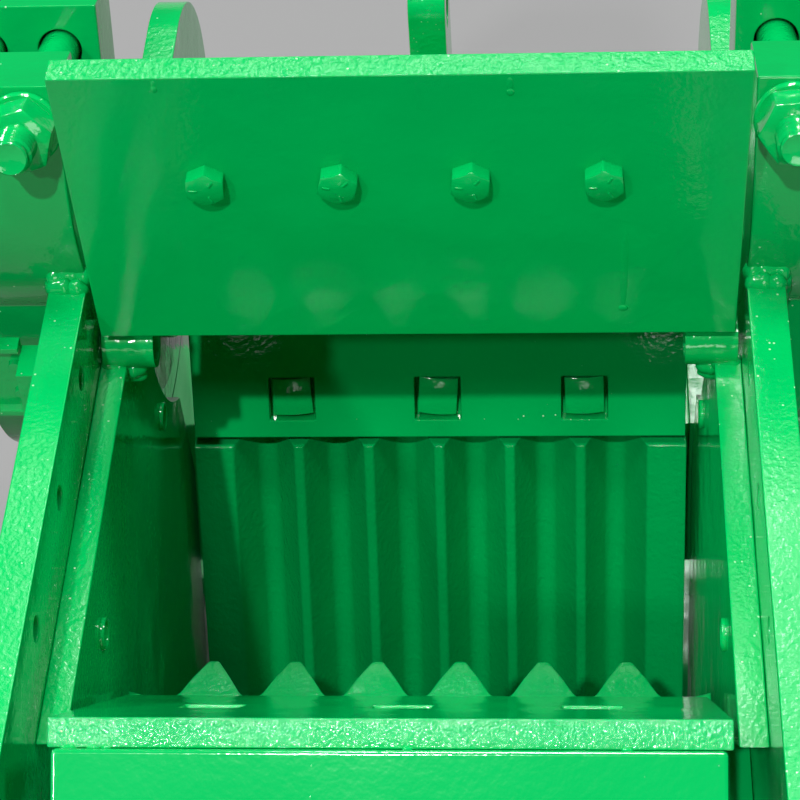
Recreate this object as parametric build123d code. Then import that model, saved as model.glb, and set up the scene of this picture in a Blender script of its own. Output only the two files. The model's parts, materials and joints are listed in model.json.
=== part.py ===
from build123d import *
import math
import os

# A single-toggle jaw crusher, millimetres. X runs across the machine, Y from the
# feed end to the rear, Z up from the ground. The pieces are drawn with Y = 0 on
# the fixed jaw's valley plane, and moved to the middle of the footprint when written.

# Frame plates
PLATE_T = 26.0
INSIDE_WIDTH = 446.0
FEED_TOP = 1000.0
REAR_TOP = 869.0
FRONT_END = -250.0
REAR_END = 750.0
REAR_CORNER_R = 110.0
RIB_T = 20.0
RIB_REACH = 58.0
RIBS = ((-180.0, 760.0), (20.0, 860.0), (425.0, 679.7), (680.0, 800.0))
LEVEL_RIB_Z = 430.0
LEVEL_RIB_INSET = 20.0
GUSSET_Y = 232.0
GUSSET_REACH = 55.0
GUSSET_LOW = 780.0
GUSSET_SHOULDER = 938.0
GUSSET_TOP = 960.0
FOOT_T = 30.0
FOOT_WIDTH = 128.0
FOOT_INSET = 18.0
TIE_WIDTH = 70.0
FOOT_FRONT = -300.0
FOOT_REAR = 790.0
ANCHOR_HOLE_D = 26.0
ANCHOR_INSET = 45.0
ANCHOR_X = 281.0

# Shaft, bearings and wheels
SHAFT_Y = 425.0
SHAFT_Z = 870.0
THROW = 8.0
SHAFT_D = 100.0
ECCENTRIC_D = 120.0
WHEEL_D = 780.0
WHEEL_FACE = 110.0
WHEEL_RIM_T = 58.0
WHEEL_WEB_T = 24.0
WHEEL_HUB_D = 170.0
WHEEL_HOLE_D = 78.0
WHEEL_STAND = 104.0
WHEEL_DISH = 12.0
WHEEL_HUB_TAPER = 18.0
WHEEL_HOLES = 6
GROOVES = 4
HUB_PROUD = 14.0
SHAFT_PROUD = 9.0
GROOVE_PITCH = 26.0
GROOVE_DEPTH = 18.0
GROOVE_TOP = 18.7
GROOVE_FLOOR = 10.4

# Bearing blocks, tilted so that their studs rise towards the feed end
STUD_TILT = 17.0
STUD_D = 27.0
STUD_HOLE_D = 30.0
STUD_RISE = 187.0
STUD_INSET = 28.0
STUD_PROUD = 24.0
NUT_AF = 41.0
NUT_H = 22.0
WASHER_D = 50.0
WASHER_T = 5.0
BLOCK_WIDTH = 108.0
BLOCK_R = 154.0
BLOCK_TOP = 220.0
REAR_BLOCK_T = 52.0
CAP_R = 110.0
STUD_GAP = 70.0
STUD_GAP_FLOOR = 70.0
FRONT_BLOCK_T = 61.0
FRONT_BLOCK_TOP = 215.0
CRADLE_T = 36.0
SADDLE_R = 172.0
SADDLE_RISE = 158.0
SADDLE_LEAD = 0.05
COVER_D = 216.0
COVER_T = 14.0
COVER_GAP = 6.0
COVER_SCREWS = 6
SCREW_D = 18.0
SCREW_H = 8.0
SCREW_INSET = 17.0

# Fixed side of the chamber
JAW_SIDE_GAP = 5.5
TOOTH_PITCH = 57.14
TOOTH_HEIGHT = 33.0
TOOTH_CREST = 7.0
TOOTH_ROOT = 12.0
CREST_R = 3.0
ROOT_R = 10.0
LIP_WIDTH = 16.0
LIP_HEIGHT = 5.0
CREST_DROP = 3.0
DIE_BOTTOM = 185.0
FIXED_DIE_TOP = 796.0
FIXED_DIE_BASE = 32.0
FRONT_WALL_T = 60.0
FRONT_WALL_BOTTOM = 150.0
FRONT_RIB_T = 22.0
FRONT_RIB_INSET = 20.0
FRONT_LEVELS = (400.0, 640.0)
FRONT_RIB_X = 130.0
FRONT_RIB_TOP = 860.0

# Feed plates, sloping down to the fixed jaw
FEED_SLOPE = 39.0
FEED_Y = -176.0
FEED_Z = 1018.5
LINER_LENGTH = 248.0
LINER_SIDE_GAP = 9.5
LINER_T = 17.5
BACKING_WIDTH = 383.0
BACKING_T = 45.0
BACKING_LEAD = 8.5
LINER_BOLT_DOWN = 118.0
BOLT_SPACING = 117.5
POCKET = 37.0
POCKET_DEPTH = 14.0
SQUARE_HEAD = 31.0
SQUARE_HEAD_H = 10.0

# Cheek plates
CHEEK_T = 18.5
CHEEK_TOP = 928.0
CHEEK_FRONT = -132.0
CHEEK_BACK = 197.0
CHEEK_BOTTOM = 240.0
CHEEK_HEEL_Y = 150.0
CHEEK_REAR = ((345.0, 640.0), (330.0, 780.0))
CHEEK_BOLT_D = 22.0
CHEEK_BOLT_H = 6.0
CHEEK_BOLTS = ((-6.0, 875.0), (263.0, 795.0))
CHEEK_HOLE_D = 16.0
CHEEK_HOLE_Z = 972.0
CHEEK_HOLES = (135.0, 29.0, -77.0)
PIPE_D = 34.0
PIPE_BORE = 24.0
PIPE_LENGTH = 36.0
PIPE_Y = 203.0
PIPE_Z = 936.0
PIPE_INSET = 3.0

# Swing jaw, whose face leans back from the vertical
JAW_LEAN = 24.5
JAW_Y = 333.0
JAW_Z = 682.0
DIE_T = 50.0
DIE_LEAD = 8.7
CASTING_INSET = 1.0
BEVEL_DROP = 9.0
BEVEL_BACK = 20.0
KEY_LENGTH = 101.0
KEY_PROUD = 2.0
KEY_BOLT_UP = 33.5
BARREL_D = 190.0
STOCK_T = 40.0
STOCK_RIB_T = 25.0
STOCK_RIB_DEPTH = 60.0
STOCK_BOTTOM = 545.0
STOCK_RISE = 100.0
STOCK_RIBS = 4
RIB_HEEL = 45.0
RIB_SHOULDER = 20.0

# Deflector above the swing jaw
DEFLECTOR_WIDTH = 434.0
DEFLECTOR_HEIGHT = 238.0
DEFLECTOR_T = 19.0
DEFLECTOR_LEAN = 3.0
DEFLECTOR_Y = 183.0
DEFLECTOR_Z = 963.0
DEFLECTOR_BOLT_UP = 150.0
DEFLECTOR_BOLT_PITCH = 84.6
HEX_AF = 24.0
HEX_H = 10.5
BRACKET_T = 12.0
BRACKET_WIDTH = 380.0
BRACKET_LOW = 60.0
BRACKET_HIGH = 200.0
BRACKET_RIB_T = 20.0
BRACKET_RIB_X = 118.0
BRACKET_HEEL = 110.0
BRACKET_HEEL_RISE = 24.0
BRACKET_TOE = 20.0
BRACKET_CROWN = 14.0

# Lifting lug on the barrel
LUG_T = 28.0
LUG_Y = 498.0
LUG_WIDTH = 70.0
LUG_CORNER_R = 24.5
LUG_FOOT = 850.0
LUG_TOP = 1036.0
LUG_HOLE_D = 34.0
LUG_HOLE_Z = 1000.0

# Toggle, rear beam and tension rod
TOGGLE_DOWN = 470.0
TOGGLE_Y = 585.0
TOGGLE_Z = 275.0
TOGGLE_END_R = 14.0
TOGGLE_T = 22.0
TOGGLE_WIDTH = 300.0
SEAT_T = 34.0
SEAT_HEIGHT = 64.0
SEAT_BITE = 9.0
BEAM_DEPTH = 110.0
BEAM_HEIGHT = 210.0
BEAM_WALL = 25.0
BEAM_BOTTOM = 180.0
ROD_D = 24.0
ROD_Z = 118.0
ROD_PIN_Y = 262.0
ROD_PIN_D = 20.0
EAR_LIP = 22.0
EAR_T = 20.0
EAR_GAP = 4.0
ROD_HOLE_D = 52.0
ROD_END = 792.0
HANGER_T = 22.0
HANGER_WIDTH = 110.0
HANGER_DROP = 55.0
SPRING_D = 64.0
SPRING_WIRE = 10.0
SPRING_LENGTH = 58.0
SPRING_TURNS = 4.0
CUP_T = 7.0
CUP_GAP = 6.0
CUP_LENGTH = 46.0
CUP_ROOM = 20.0

# Guard bracket outside the left side plate
GUARD_Y = 175.0
GUARD_Z = 922.5
GUARD_POST_X = 27.0
GUARD_POST_T = 30.0
GUARD_POST_HEIGHT = 52.0
GUARD_HEIGHT = 68.0
GUARD_REACH = 92.0
GUARD_WALL = 5.0
GUARD_FLANGE = 12.0
GUARD_BOLT_D = 8.0
GUARD_BOLT_H = 5.0
GUARD_BOLT_RISE = 13.5
GUARD_BOLT_IN = 6.0

# Clearances
SEAT_GAP = 0.3
SHAFT_FIT = 0.05
CHEEK_TO_BLOCK = 4.0

PLATE_IN = INSIDE_WIDTH / 2
PLATE_OUT = PLATE_IN + PLATE_T
CHEEK_IN = PLATE_IN - CHEEK_T
DIE_WIDTH = 2 * (CHEEK_IN - JAW_SIDE_GAP)
LINER_WIDTH = 2 * (CHEEK_IN - LINER_SIDE_GAP)
FIXED_TEETH = int((DIE_WIDTH - 2 * LIP_WIDTH) / TOOTH_PITCH)
PITMAN_WIDTH = DIE_WIDTH - 2 * CASTING_INSET
KEY_WIDTH = PITMAN_WIDTH
BLOCK_INNER_X = PITMAN_WIDTH / 2 + COVER_GAP + COVER_T
BLOCK_OUTER_X = BLOCK_INNER_X + BLOCK_WIDTH
STUD_X = (BLOCK_INNER_X + STUD_INSET, BLOCK_OUTER_X - STUD_INSET)
WHEEL_INNER_X = BLOCK_OUTER_X + WHEEL_STAND
SEAT_OFFSET = SEAT_T + TOGGLE_END_R - SEAT_BITE
WHEEL_OUTER_X = WHEEL_INNER_X + WHEEL_FACE
WHEEL_REAR = SHAFT_Y + WHEEL_D / 2
MIDDLE_Y = (FOOT_FRONT + max(FOOT_REAR, WHEEL_REAR)) / 2
SIDES = {"left": -1, "right": 1}


def turned(length, angle):
    """A step of some length at an angle above the +Y direction."""
    return (
        length * math.cos(math.radians(angle)),
        length * math.sin(math.radians(angle)),
    )


def side_face(points):
    """A flat outline in the side view, given as (Y, Z) points."""
    return make_face(Plane.YZ * Polyline(*points, close=True))


def side_disc(y, z, radius):
    """A round outline in the side view."""
    return Plane.YZ * Pos(y, z) * Circle(radius)


def across(face, start, end):
    """The solid that a side outline fills from one X to another."""
    low = min(start, end)
    return extrude(Pos(low, 0, 0) * face, amount=abs(end - start), dir=(1, 0, 0))


def round_bar(start, end, y, z, radius):
    """A round bar along X."""
    return across(side_disc(y, z, radius), start, end)


def block(x0, x1, y0, y1, z0, z1):
    """A plain rectangular block between two corners."""
    return Pos((x0 + x1) / 2, (y0 + y1) / 2, (z0 + z1) / 2) * Box(x1 - x0, y1 - y0, z1 - z0)


def write(name, *solids):
    """Write one node's solids, moved to the middle of the footprint."""
    pieces = [solid for shape in solids for solid in shape.solids()]
    placed = [Pos(0, -MIDDLE_Y, 0) * solid for solid in pieces]
    shape = placed[0] if len(placed) == 1 else Compound(children=placed)
    export_step(shape, f"parts/{name}.step")


def bearing_point(forward, up):
    """A point in the tilted frame of the bearing blocks, from the shaft's centre."""
    along = turned(forward, 180 - STUD_TILT)
    above = turned(up, 90 - STUD_TILT)
    return (SHAFT_Y + along[0] + above[0], SHAFT_Z + along[1] + above[1])


def bearing_box(rear, front, low, high):
    """A rectangle in the tilted frame of the bearing blocks."""
    return side_face([
        bearing_point(rear, low),
        bearing_point(front, low),
        bearing_point(front, high),
        bearing_point(rear, high),
    ])


def jaw_point(down, back):
    """A point on the swing jaw: down along its face, and back from its crests."""
    along = turned(down, 270 - JAW_LEAN)
    behind = turned(back, -JAW_LEAN)
    return (JAW_Y + along[0] + behind[0], JAW_Z + along[1] + behind[1])


def jaw_plane(down, back, x=0.0):
    """A plane at a point of the swing jaw that looks forward out of its face."""
    y, z = jaw_point(down, back)
    out = turned(1, 180 - JAW_LEAN)
    return Plane(origin=(x, y, z), x_dir=(1, 0, 0), z_dir=(0, out[0], out[1]))


def feed_point(down, out):
    """A point on the feed plates: down the slope, and out towards the chamber."""
    along = turned(down, FEED_SLOPE - 90)
    above = turned(out, FEED_SLOPE)
    return (FEED_Y + along[0] + above[0], FEED_Z + along[1] + above[1])


def feed_plane(down, out, x=0.0):
    """A plane on the feed plates that looks out towards the chamber."""
    y, z = feed_point(down, out)
    normal = turned(1, FEED_SLOPE)
    return Plane(origin=(x, y, z), x_dir=(1, 0, 0), z_dir=(0, normal[0], normal[1]))


def deflector_plane(up, back, x=0.0):
    """A plane on the deflector that looks forward out of its face."""
    along = turned(up, 90 + DEFLECTOR_LEAN)
    behind = turned(back, DEFLECTOR_LEAN)
    out = turned(1, 180 + DEFLECTOR_LEAN)
    y = DEFLECTOR_Y + along[0] + behind[0]
    z = DEFLECTOR_Z + along[1] + behind[1]
    return Plane(origin=(x, y, z), x_dir=(1, 0, 0), z_dir=(0, out[0], out[1]))


def stud_plane(forward, x):
    """A plane square to the bearing studs that looks towards the feed end."""
    y, z = bearing_point(forward, STUD_RISE)
    out = turned(1, 180 - STUD_TILT)
    return Plane(origin=(x, y, z), x_dir=(1, 0, 0), z_dir=(0, out[0], out[1]))


def hex_piece(flats, height):
    """A hexagonal head or nut that stands on its own base plane, with one round chamfer."""
    prism = extrude(RegularPolygon(flats / math.sqrt(3), 6), amount=height)
    crown = Cylinder(flats / math.sqrt(3), height, align=(Align.CENTER, Align.CENTER, Align.MIN))
    crown = chamfer(crown.edges().group_by(Axis.Z)[-1], height * 0.16)
    return prism & crown


def square_head(size, height):
    """A square bolt head with a low domed top."""
    prism = extrude(Rectangle(size, size), amount=height)
    dome_r = size * 1.1
    return prism & (Pos(0, 0, height - dome_r) * Sphere(dome_r))


def tooth_section(count, base, full_ends):
    """The section of a jaw die: rounded crests and valleys, with full lands or low lips at its ends."""
    half = DIE_WIDTH / 2
    flank = (TOOTH_PITCH - TOOTH_CREST - TOOTH_ROOT) / 2
    outline = []
    for index in range(count):
        centre = (index - (count - 1) / 2) * TOOTH_PITCH
        near, far = centre - TOOTH_CREST / 2, centre + TOOTH_CREST / 2
        outline += [(near - flank, 0), (near, TOOTH_HEIGHT), (far, TOOTH_HEIGHT), (far + flank, 0)]
    if full_ends:
        outline = [(-half, TOOTH_HEIGHT), *outline[2:-2], (half, TOOTH_HEIGHT)]
    else:
        outline = [
            (-half, LIP_HEIGHT), (LIP_WIDTH - half, 0), *outline, (half - LIP_WIDTH, 0), (half, LIP_HEIGHT)]
    face = make_face(Polyline((-half, -base), *outline, (half, -base), close=True))
    inner = [corner for corner in face.vertices() if abs(corner.X) < half - SEAT_GAP]
    crests = [corner for corner in inner if corner.Y > TOOTH_HEIGHT / 2]
    face = fillet(crests, CREST_R)
    inner = [corner for corner in face.vertices() if abs(corner.X) < half - SEAT_GAP]
    roots = [corner for corner in inner if abs(corner.Y) < SEAT_GAP]
    return fillet(roots, ROOT_R)


# Outlines that several pieces share

FRONT_BLOCK_BACK = BLOCK_R + STUD_GAP
FRONT_BLOCK_FACE = FRONT_BLOCK_BACK + FRONT_BLOCK_T
FAR = 600.0
SADDLE_Y, SADDLE_Z = bearing_point(FRONT_BLOCK_FACE - SADDLE_R + SADDLE_LEAD, SADDLE_RISE)
saddle_arc = side_disc(SADDLE_Y, SADDLE_Z, SADDLE_R)
cradle_disc = side_disc(SHAFT_Y, SHAFT_Z, BLOCK_R + CRADLE_T)
front_block = bearing_box(FRONT_BLOCK_BACK, FRONT_BLOCK_FACE, SADDLE_RISE, FRONT_BLOCK_TOP)
block_seat = side_disc(SHAFT_Y, SHAFT_Z, BLOCK_R + SEAT_GAP)
block_room = bearing_box(-BLOCK_R - SEAT_GAP, BLOCK_R, 0, FAR)
above_cradle = bearing_box(-FAR, BLOCK_R, 0, FAR)
stud_room = bearing_box(BLOCK_R, FRONT_BLOCK_BACK, STUD_GAP_FLOOR, FAR)
above_front = bearing_box(BLOCK_R, FRONT_BLOCK_FACE + SADDLE_R, FRONT_BLOCK_TOP, FAR)
cradle = cradle_disc - above_cradle
saddle_outline = (saddle_arc + cradle_disc + front_block) - above_cradle - block_seat
saddle_outline = saddle_outline - stud_room - above_front


def side_plate(side):
    """One main plate, notched for its saddle, with the cheek adjusting holes."""
    outline = side_face([
        (FRONT_END, FOOT_T),
        (FRONT_END, FEED_TOP),
        (SADDLE_Y, FEED_TOP),
        (SADDLE_Y, REAR_TOP),
        (REAR_END, REAR_TOP),
        (REAR_END, FOOT_T),
    ])
    outline = outline - saddle_arc - cradle - block_seat - block_room - stud_room
    plate = across(outline, side * PLATE_IN, side * PLATE_OUT)
    corner = plate.edges().filter_by(Axis.X).sort_by_distance((0, REAR_END, REAR_TOP))[0]
    plate = fillet(corner, REAR_CORNER_R)
    for y in CHEEK_HOLES:
        plate = plate - round_bar(side * PLATE_IN, side * PLATE_OUT, y, CHEEK_HOLE_Z, CHEEK_HOLE_D / 2)
    return plate


def side_ribs(side):
    """Upright and level ribs outside a side plate, and the gusset under its saddle."""
    near = side * PLATE_OUT
    far = side * (PLATE_OUT + RIB_REACH)
    shape = block(
        min(near, far), max(near, far), FRONT_END + LEVEL_RIB_INSET, REAR_END - LEVEL_RIB_INSET,
        LEVEL_RIB_Z, LEVEL_RIB_Z + RIB_T)
    for y, top in RIBS:
        face = make_face(Plane.XZ * Polyline(
            (near, FOOT_T), (far, FOOT_T), (far, top - RIB_REACH), (near, top), close=True))
        shape = shape + extrude(Pos(0, y + RIB_T / 2, 0) * face, amount=RIB_T, dir=(0, -1, 0))
    return shape


def saddle_gusset(side):
    """The tapering gusset under the saddle's front."""
    near = side * PLATE_OUT
    wide = side * (PLATE_OUT + GUSSET_REACH)
    face = make_face(Plane.XZ * Polyline(
        (near, GUSSET_LOW), (near, GUSSET_TOP), (wide, GUSSET_TOP), (wide, GUSSET_SHOULDER), close=True))
    gusset = extrude(Pos(0, GUSSET_Y + RIB_T / 2, 0) * face, amount=RIB_T, dir=(0, -1, 0))
    return gusset - across(side_disc(SADDLE_Y, SADDLE_Z, SADDLE_R), near, wide)


def saddle(side):
    """The curved saddle with its front stud block."""
    shape = across(saddle_outline, side * PLATE_IN, side * BLOCK_OUTER_X)
    for x in STUD_X:
        hole = Cylinder(STUD_HOLE_D / 2, 4 * FRONT_BLOCK_T)
        shape = shape - stud_plane(FRONT_BLOCK_BACK, side * x) * hole
    return shape + saddle_gusset(side)


def housing(side):
    """The bearing block: a round base, a smaller cap above the split, and the rear stud block."""
    inner, outer = side * BLOCK_INNER_X, side * BLOCK_OUTER_X
    above_split = across(bearing_box(-FAR, FAR, 0, FAR), inner, outer)
    shape = round_bar(inner, outer, SHAFT_Y, SHAFT_Z, BLOCK_R) - above_split
    shape = shape + round_bar(inner, outer, SHAFT_Y, SHAFT_Z, CAP_R)
    shape = shape + across(bearing_box(BLOCK_R - REAR_BLOCK_T, BLOCK_R, 0, BLOCK_TOP), inner, outer)
    shape = shape - round_bar(inner, outer, SHAFT_Y, SHAFT_Z, SHAFT_D / 2 + SEAT_GAP)
    for x in STUD_X:
        hole = Cylinder(STUD_HOLE_D / 2, 4 * BLOCK_R)
        shape = shape - stud_plane(0, side * x) * hole
    return shape


def studs(side):
    """Inclined studs with a washer and a nut at both ends."""
    front = FRONT_BLOCK_FACE
    back = BLOCK_R - REAR_BLOCK_T
    grip = front - back
    proud = WASHER_T + NUT_H + STUD_PROUD
    pieces = []
    for x in STUD_X:
        stud = extrude(Circle(STUD_D / 2), amount=grip + 2 * proud)
        bolt = stud_plane(back - proud, side * x) * stud
        washer = extrude(Circle(WASHER_D / 2), amount=WASHER_T)
        nut = hex_piece(NUT_AF, NUT_H)
        bolt = bolt + stud_plane(front, side * x) * washer
        bolt = bolt + stud_plane(front + WASHER_T, side * x) * nut
        bolt = bolt + stud_plane(back - WASHER_T, side * x) * washer
        bolt = bolt + stud_plane(back - WASHER_T - NUT_H, side * x) * nut
        pieces.append(bolt)
    return pieces


def covers(side):
    """Round bearing covers on both faces of a block, with their screws on the outer one."""
    inner = round_bar(side * (BLOCK_INNER_X - COVER_T), side * BLOCK_INNER_X, SHAFT_Y, SHAFT_Z, COVER_D / 2)
    outer = round_bar(side * BLOCK_OUTER_X, side * (BLOCK_OUTER_X + COVER_T), SHAFT_Y, SHAFT_Z, COVER_D / 2)
    bore = round_bar(-FAR, FAR, SHAFT_Y, SHAFT_Z, SHAFT_D / 2 + SEAT_GAP)
    outer_face = side * (BLOCK_OUTER_X + COVER_T)
    for step in range(COVER_SCREWS):
        y, z = turned(COVER_D / 2 - SCREW_INSET, 360 / COVER_SCREWS * (step + 0.5))
        head = round_bar(outer_face, outer_face + side * SCREW_H, SHAFT_Y + y, SHAFT_Z + z, SCREW_D / 2)
        outer = outer + head
    return inner - bore, outer - bore


def shaft():
    """The eccentric shaft: main journals in line, and the thrown middle."""
    end = WHEEL_OUTER_X + HUB_PROUD + SHAFT_PROUD
    shape = round_bar(-end, end, SHAFT_Y, SHAFT_Z, SHAFT_D / 2)
    middle = PITMAN_WIDTH / 2
    return shape + round_bar(-middle, middle, SHAFT_Y + THROW, SHAFT_Z, ECCENTRIC_D / 2)


def flywheel(side, grooved):
    """A flywheel with a holed web, and belt grooves on the driven one."""
    rim_r = WHEEL_D / 2
    rim_in = rim_r - WHEEL_RIM_T
    hub_r = WHEEL_HUB_D / 2
    bore = SHAFT_D / 2 + SEAT_GAP
    inner, outer = WHEEL_INNER_X, WHEEL_OUTER_X
    middle = (inner + outer) / 2
    web_in, web_out = middle - WHEEL_WEB_T / 2, middle + WHEEL_WEB_T / 2
    rim_face = [(inner, rim_r)]
    if grooved:
        for index in range(GROOVES):
            centre = middle + (index - (GROOVES - 1) / 2) * GROOVE_PITCH
            rim_face.append((centre - GROOVE_TOP / 2, rim_r))
            rim_face.append((centre - GROOVE_FLOOR / 2, rim_r - GROOVE_DEPTH))
            rim_face.append((centre + GROOVE_FLOOR / 2, rim_r - GROOVE_DEPTH))
            rim_face.append((centre + GROOVE_TOP / 2, rim_r))
    points = [
        (inner - HUB_PROUD, bore), (inner - HUB_PROUD, hub_r), (web_in, hub_r + WHEEL_HUB_TAPER),
        (web_in, rim_in - WHEEL_DISH), (inner, rim_in), *rim_face, (outer, rim_r), (outer, rim_in),
        (web_out, rim_in - WHEEL_DISH), (web_out, hub_r + WHEEL_HUB_TAPER),
        (outer + HUB_PROUD, hub_r), (outer + HUB_PROUD, bore),
    ]
    outline = [(side * x, SHAFT_Y + r) for x, r in points]
    face = make_face(Plane((0, 0, SHAFT_Z)) * Polyline(*outline, close=True))
    wheel = revolve(face, axis=Axis((0, SHAFT_Y, SHAFT_Z), (1, 0, 0)), revolution_arc=360)
    mid_r = (rim_in + hub_r) / 2
    for step in range(WHEEL_HOLES):
        reach = turned(mid_r, 360 / WHEEL_HOLES * step)
        wheel = wheel - round_bar(
            side * inner, side * outer, SHAFT_Y + reach[0], SHAFT_Z + reach[1], WHEEL_HOLE_D / 2)
    return wheel


def fixed_die():
    """The fixed jaw's die, upright, with as many crests towards the chamber as fit its width."""
    section = tooth_section(FIXED_TEETH, FIXED_DIE_BASE, False)
    plane = Plane(origin=(0, 0, FIXED_DIE_TOP), x_dir=(-1, 0, 0), z_dir=(0, 0, -1))
    die = extrude(plane * section, amount=FIXED_DIE_TOP - DIE_BOTTOM)
    over = side_face([
        (TOOTH_HEIGHT / 2, FIXED_DIE_TOP), (TOOTH_HEIGHT / 2, FIXED_DIE_TOP + CREST_DROP),
        (TOOTH_HEIGHT * 1.5, FIXED_DIE_TOP + CREST_DROP), (TOOTH_HEIGHT * 1.5, FIXED_DIE_TOP - 2 * CREST_DROP),
    ])
    return die - across(over, -DIE_WIDTH, DIE_WIDTH)


def front_wall():
    """The thick plate behind the fixed die."""
    back = -FIXED_DIE_BASE
    return block(-PLATE_IN, PLATE_IN, back - FRONT_WALL_T, back, FRONT_WALL_BOTTOM, FIXED_DIE_TOP)


def front_ribs():
    """Level and upright ribs in front of the front wall, and gussets under the backing plate."""
    back = -FIXED_DIE_BASE - FRONT_WALL_T
    front = FRONT_END + FRONT_RIB_INSET
    shape = block(-PLATE_IN, PLATE_IN, front, back, FRONT_WALL_BOTTOM, FRONT_WALL_BOTTOM + FRONT_RIB_T)
    for z in FRONT_LEVELS:
        shape = shape + block(-PLATE_IN, PLATE_IN, front, back, z, z + FRONT_RIB_T)
    foot = feed_point(0, -LINER_T - BACKING_T)
    for x in (-FRONT_RIB_X, 0.0, FRONT_RIB_X):
        rib = side_face([
            (back, FRONT_WALL_BOTTOM + FRONT_RIB_T), (front, FRONT_WALL_BOTTOM + FRONT_RIB_T),
            (front, FRONT_RIB_TOP), foot, (back, FIXED_DIE_TOP),
        ])
        shape = shape + across(rib, x - FRONT_RIB_T / 2, x + FRONT_RIB_T / 2)
    under = [feed_point(-FAR, -LINER_T - BACKING_T), feed_point(FAR, -LINER_T - BACKING_T),
             feed_point(FAR, FAR), feed_point(-FAR, FAR)]
    return shape - across(side_face(under), -FAR, FAR)


def backing_plate():
    """The thick sloping plate that carries the feed liner, cut level over the front wall."""
    top = feed_point(-BACKING_LEAD, -LINER_T)
    low = feed_point(-BACKING_LEAD, -LINER_T - BACKING_T)
    run = math.tan(math.radians(FEED_SLOPE))
    outline = side_face([
        top, low,
        (low[0] + (low[1] - FIXED_DIE_TOP) * run, FIXED_DIE_TOP),
        (top[0] + (top[1] - FIXED_DIE_TOP) * run, FIXED_DIE_TOP),
    ])
    half = BACKING_WIDTH / 2
    return across(outline, -half, half)


def feed_liner():
    """The wear plate on the feed slope, with three square pockets for its bolts."""
    outline = side_face([
        feed_point(0, 0), feed_point(LINER_LENGTH, 0),
        feed_point(LINER_LENGTH, -LINER_T), feed_point(0, -LINER_T),
    ])
    plate = across(outline, -LINER_WIDTH / 2, LINER_WIDTH / 2)
    for x in (-BOLT_SPACING, 0, BOLT_SPACING):
        pocket = extrude(Rectangle(POCKET, POCKET), amount=POCKET_DEPTH)
        plate = plate - feed_plane(LINER_BOLT_DOWN, -POCKET_DEPTH, x) * pocket
    return plate


def feed_liner_bolts():
    """Square heads in the liner's pockets."""
    heads = []
    for x in (-BOLT_SPACING, 0, BOLT_SPACING):
        heads.append(feed_plane(LINER_BOLT_DOWN, -POCKET_DEPTH, x) * square_head(SQUARE_HEAD, SQUARE_HEAD_H))
    return heads


def cheek(side):
    """A wear plate on the side plate's inner face, between the two jaws."""
    back = -FIXED_DIE_BASE
    slope_y = CHEEK_FRONT + (CHEEK_TOP - FIXED_DIE_TOP) * math.tan(math.radians(FEED_SLOPE))
    outline = side_face([
        (CHEEK_FRONT, CHEEK_TOP), (slope_y, FIXED_DIE_TOP), (back, FIXED_DIE_TOP),
        (back, CHEEK_BOTTOM), (CHEEK_HEEL_Y, CHEEK_BOTTOM), *CHEEK_REAR, (CHEEK_BACK, CHEEK_TOP),
    ])
    plate = across(outline, side * CHEEK_IN, side * PLATE_IN)
    return plate - round_bar(-FAR, FAR, SHAFT_Y, SHAFT_Z, BLOCK_R + CHEEK_TO_BLOCK)


def cheek_bolts(side):
    """Low round heads on a cheek plate."""
    heads = []
    for y, z in CHEEK_BOLTS:
        head = round_bar(side * CHEEK_IN, side * (CHEEK_IN - CHEEK_BOLT_H), y, z, CHEEK_BOLT_D / 2)
        inner = head.faces().sort_by(Axis.X)[0 if side > 0 else -1]
        heads.append(chamfer(inner.edges(), CHEEK_BOLT_H * 0.4))
    return heads


def cheek_pipe(side):
    """A short pipe welded over the cheek's back top end, as a lifting handle."""
    end = side * (PLATE_IN - PIPE_INSET)
    start = end - side * PIPE_LENGTH
    pipe = round_bar(start, end, PIPE_Y, PIPE_Z, PIPE_D / 2)
    pipe = pipe - round_bar(start, end, PIPE_Y, PIPE_Z, PIPE_BORE / 2)
    over = side_face([
        (CHEEK_FRONT, CHEEK_TOP + SEAT_GAP), (CHEEK_BACK, CHEEK_TOP + SEAT_GAP),
        (CHEEK_BACK + FAR, CHEEK_TOP + SEAT_GAP - FAR * 1.113), (CHEEK_FRONT, CHEEK_TOP - FAR),
    ])
    return pipe - across(over, side * (CHEEK_IN - SEAT_GAP), side * PLATE_IN)


def swing_die():
    """The swing jaw's ribbed die, with its crests bevelled off at the top end."""
    section = tooth_section(FIXED_TEETH + 1, DIE_T - TOOTH_HEIGHT, True)
    y, z = jaw_point(-DIE_LEAD, TOOTH_HEIGHT)
    down = turned(1, 270 - JAW_LEAN)
    plane = Plane(origin=(0, y, z), x_dir=(1, 0, 0), z_dir=(0, down[0], down[1]))
    length = (JAW_Z - DIE_BOTTOM) / math.cos(math.radians(JAW_LEAN)) + DIE_LEAD
    die = extrude(plane * section, amount=length)
    bevel = side_face([
        jaw_point(-DIE_LEAD - BEVEL_DROP, 2 * BEVEL_BACK), jaw_point(-DIE_LEAD - BEVEL_DROP, -BEVEL_BACK),
        jaw_point(2 * BEVEL_DROP - DIE_LEAD, -BEVEL_BACK),
    ])
    return die - across(bevel, -DIE_WIDTH, DIE_WIDTH)


def key_bar():
    """The clamping bar above the swing die, with three square pockets."""
    low = -DIE_LEAD - SEAT_GAP
    outline = side_face([
        jaw_point(low, -KEY_PROUD), jaw_point(low, DIE_T),
        jaw_point(low - KEY_LENGTH, DIE_T), jaw_point(low - KEY_LENGTH, -KEY_PROUD),
    ])
    bar = across(outline, -KEY_WIDTH / 2, KEY_WIDTH / 2)
    for x in (-BOLT_SPACING, 0, BOLT_SPACING):
        pocket = extrude(Rectangle(POCKET, POCKET), amount=POCKET_DEPTH)
        bar = bar - jaw_plane(low - KEY_BOLT_UP, POCKET_DEPTH - KEY_PROUD, x) * pocket
    return bar


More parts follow.
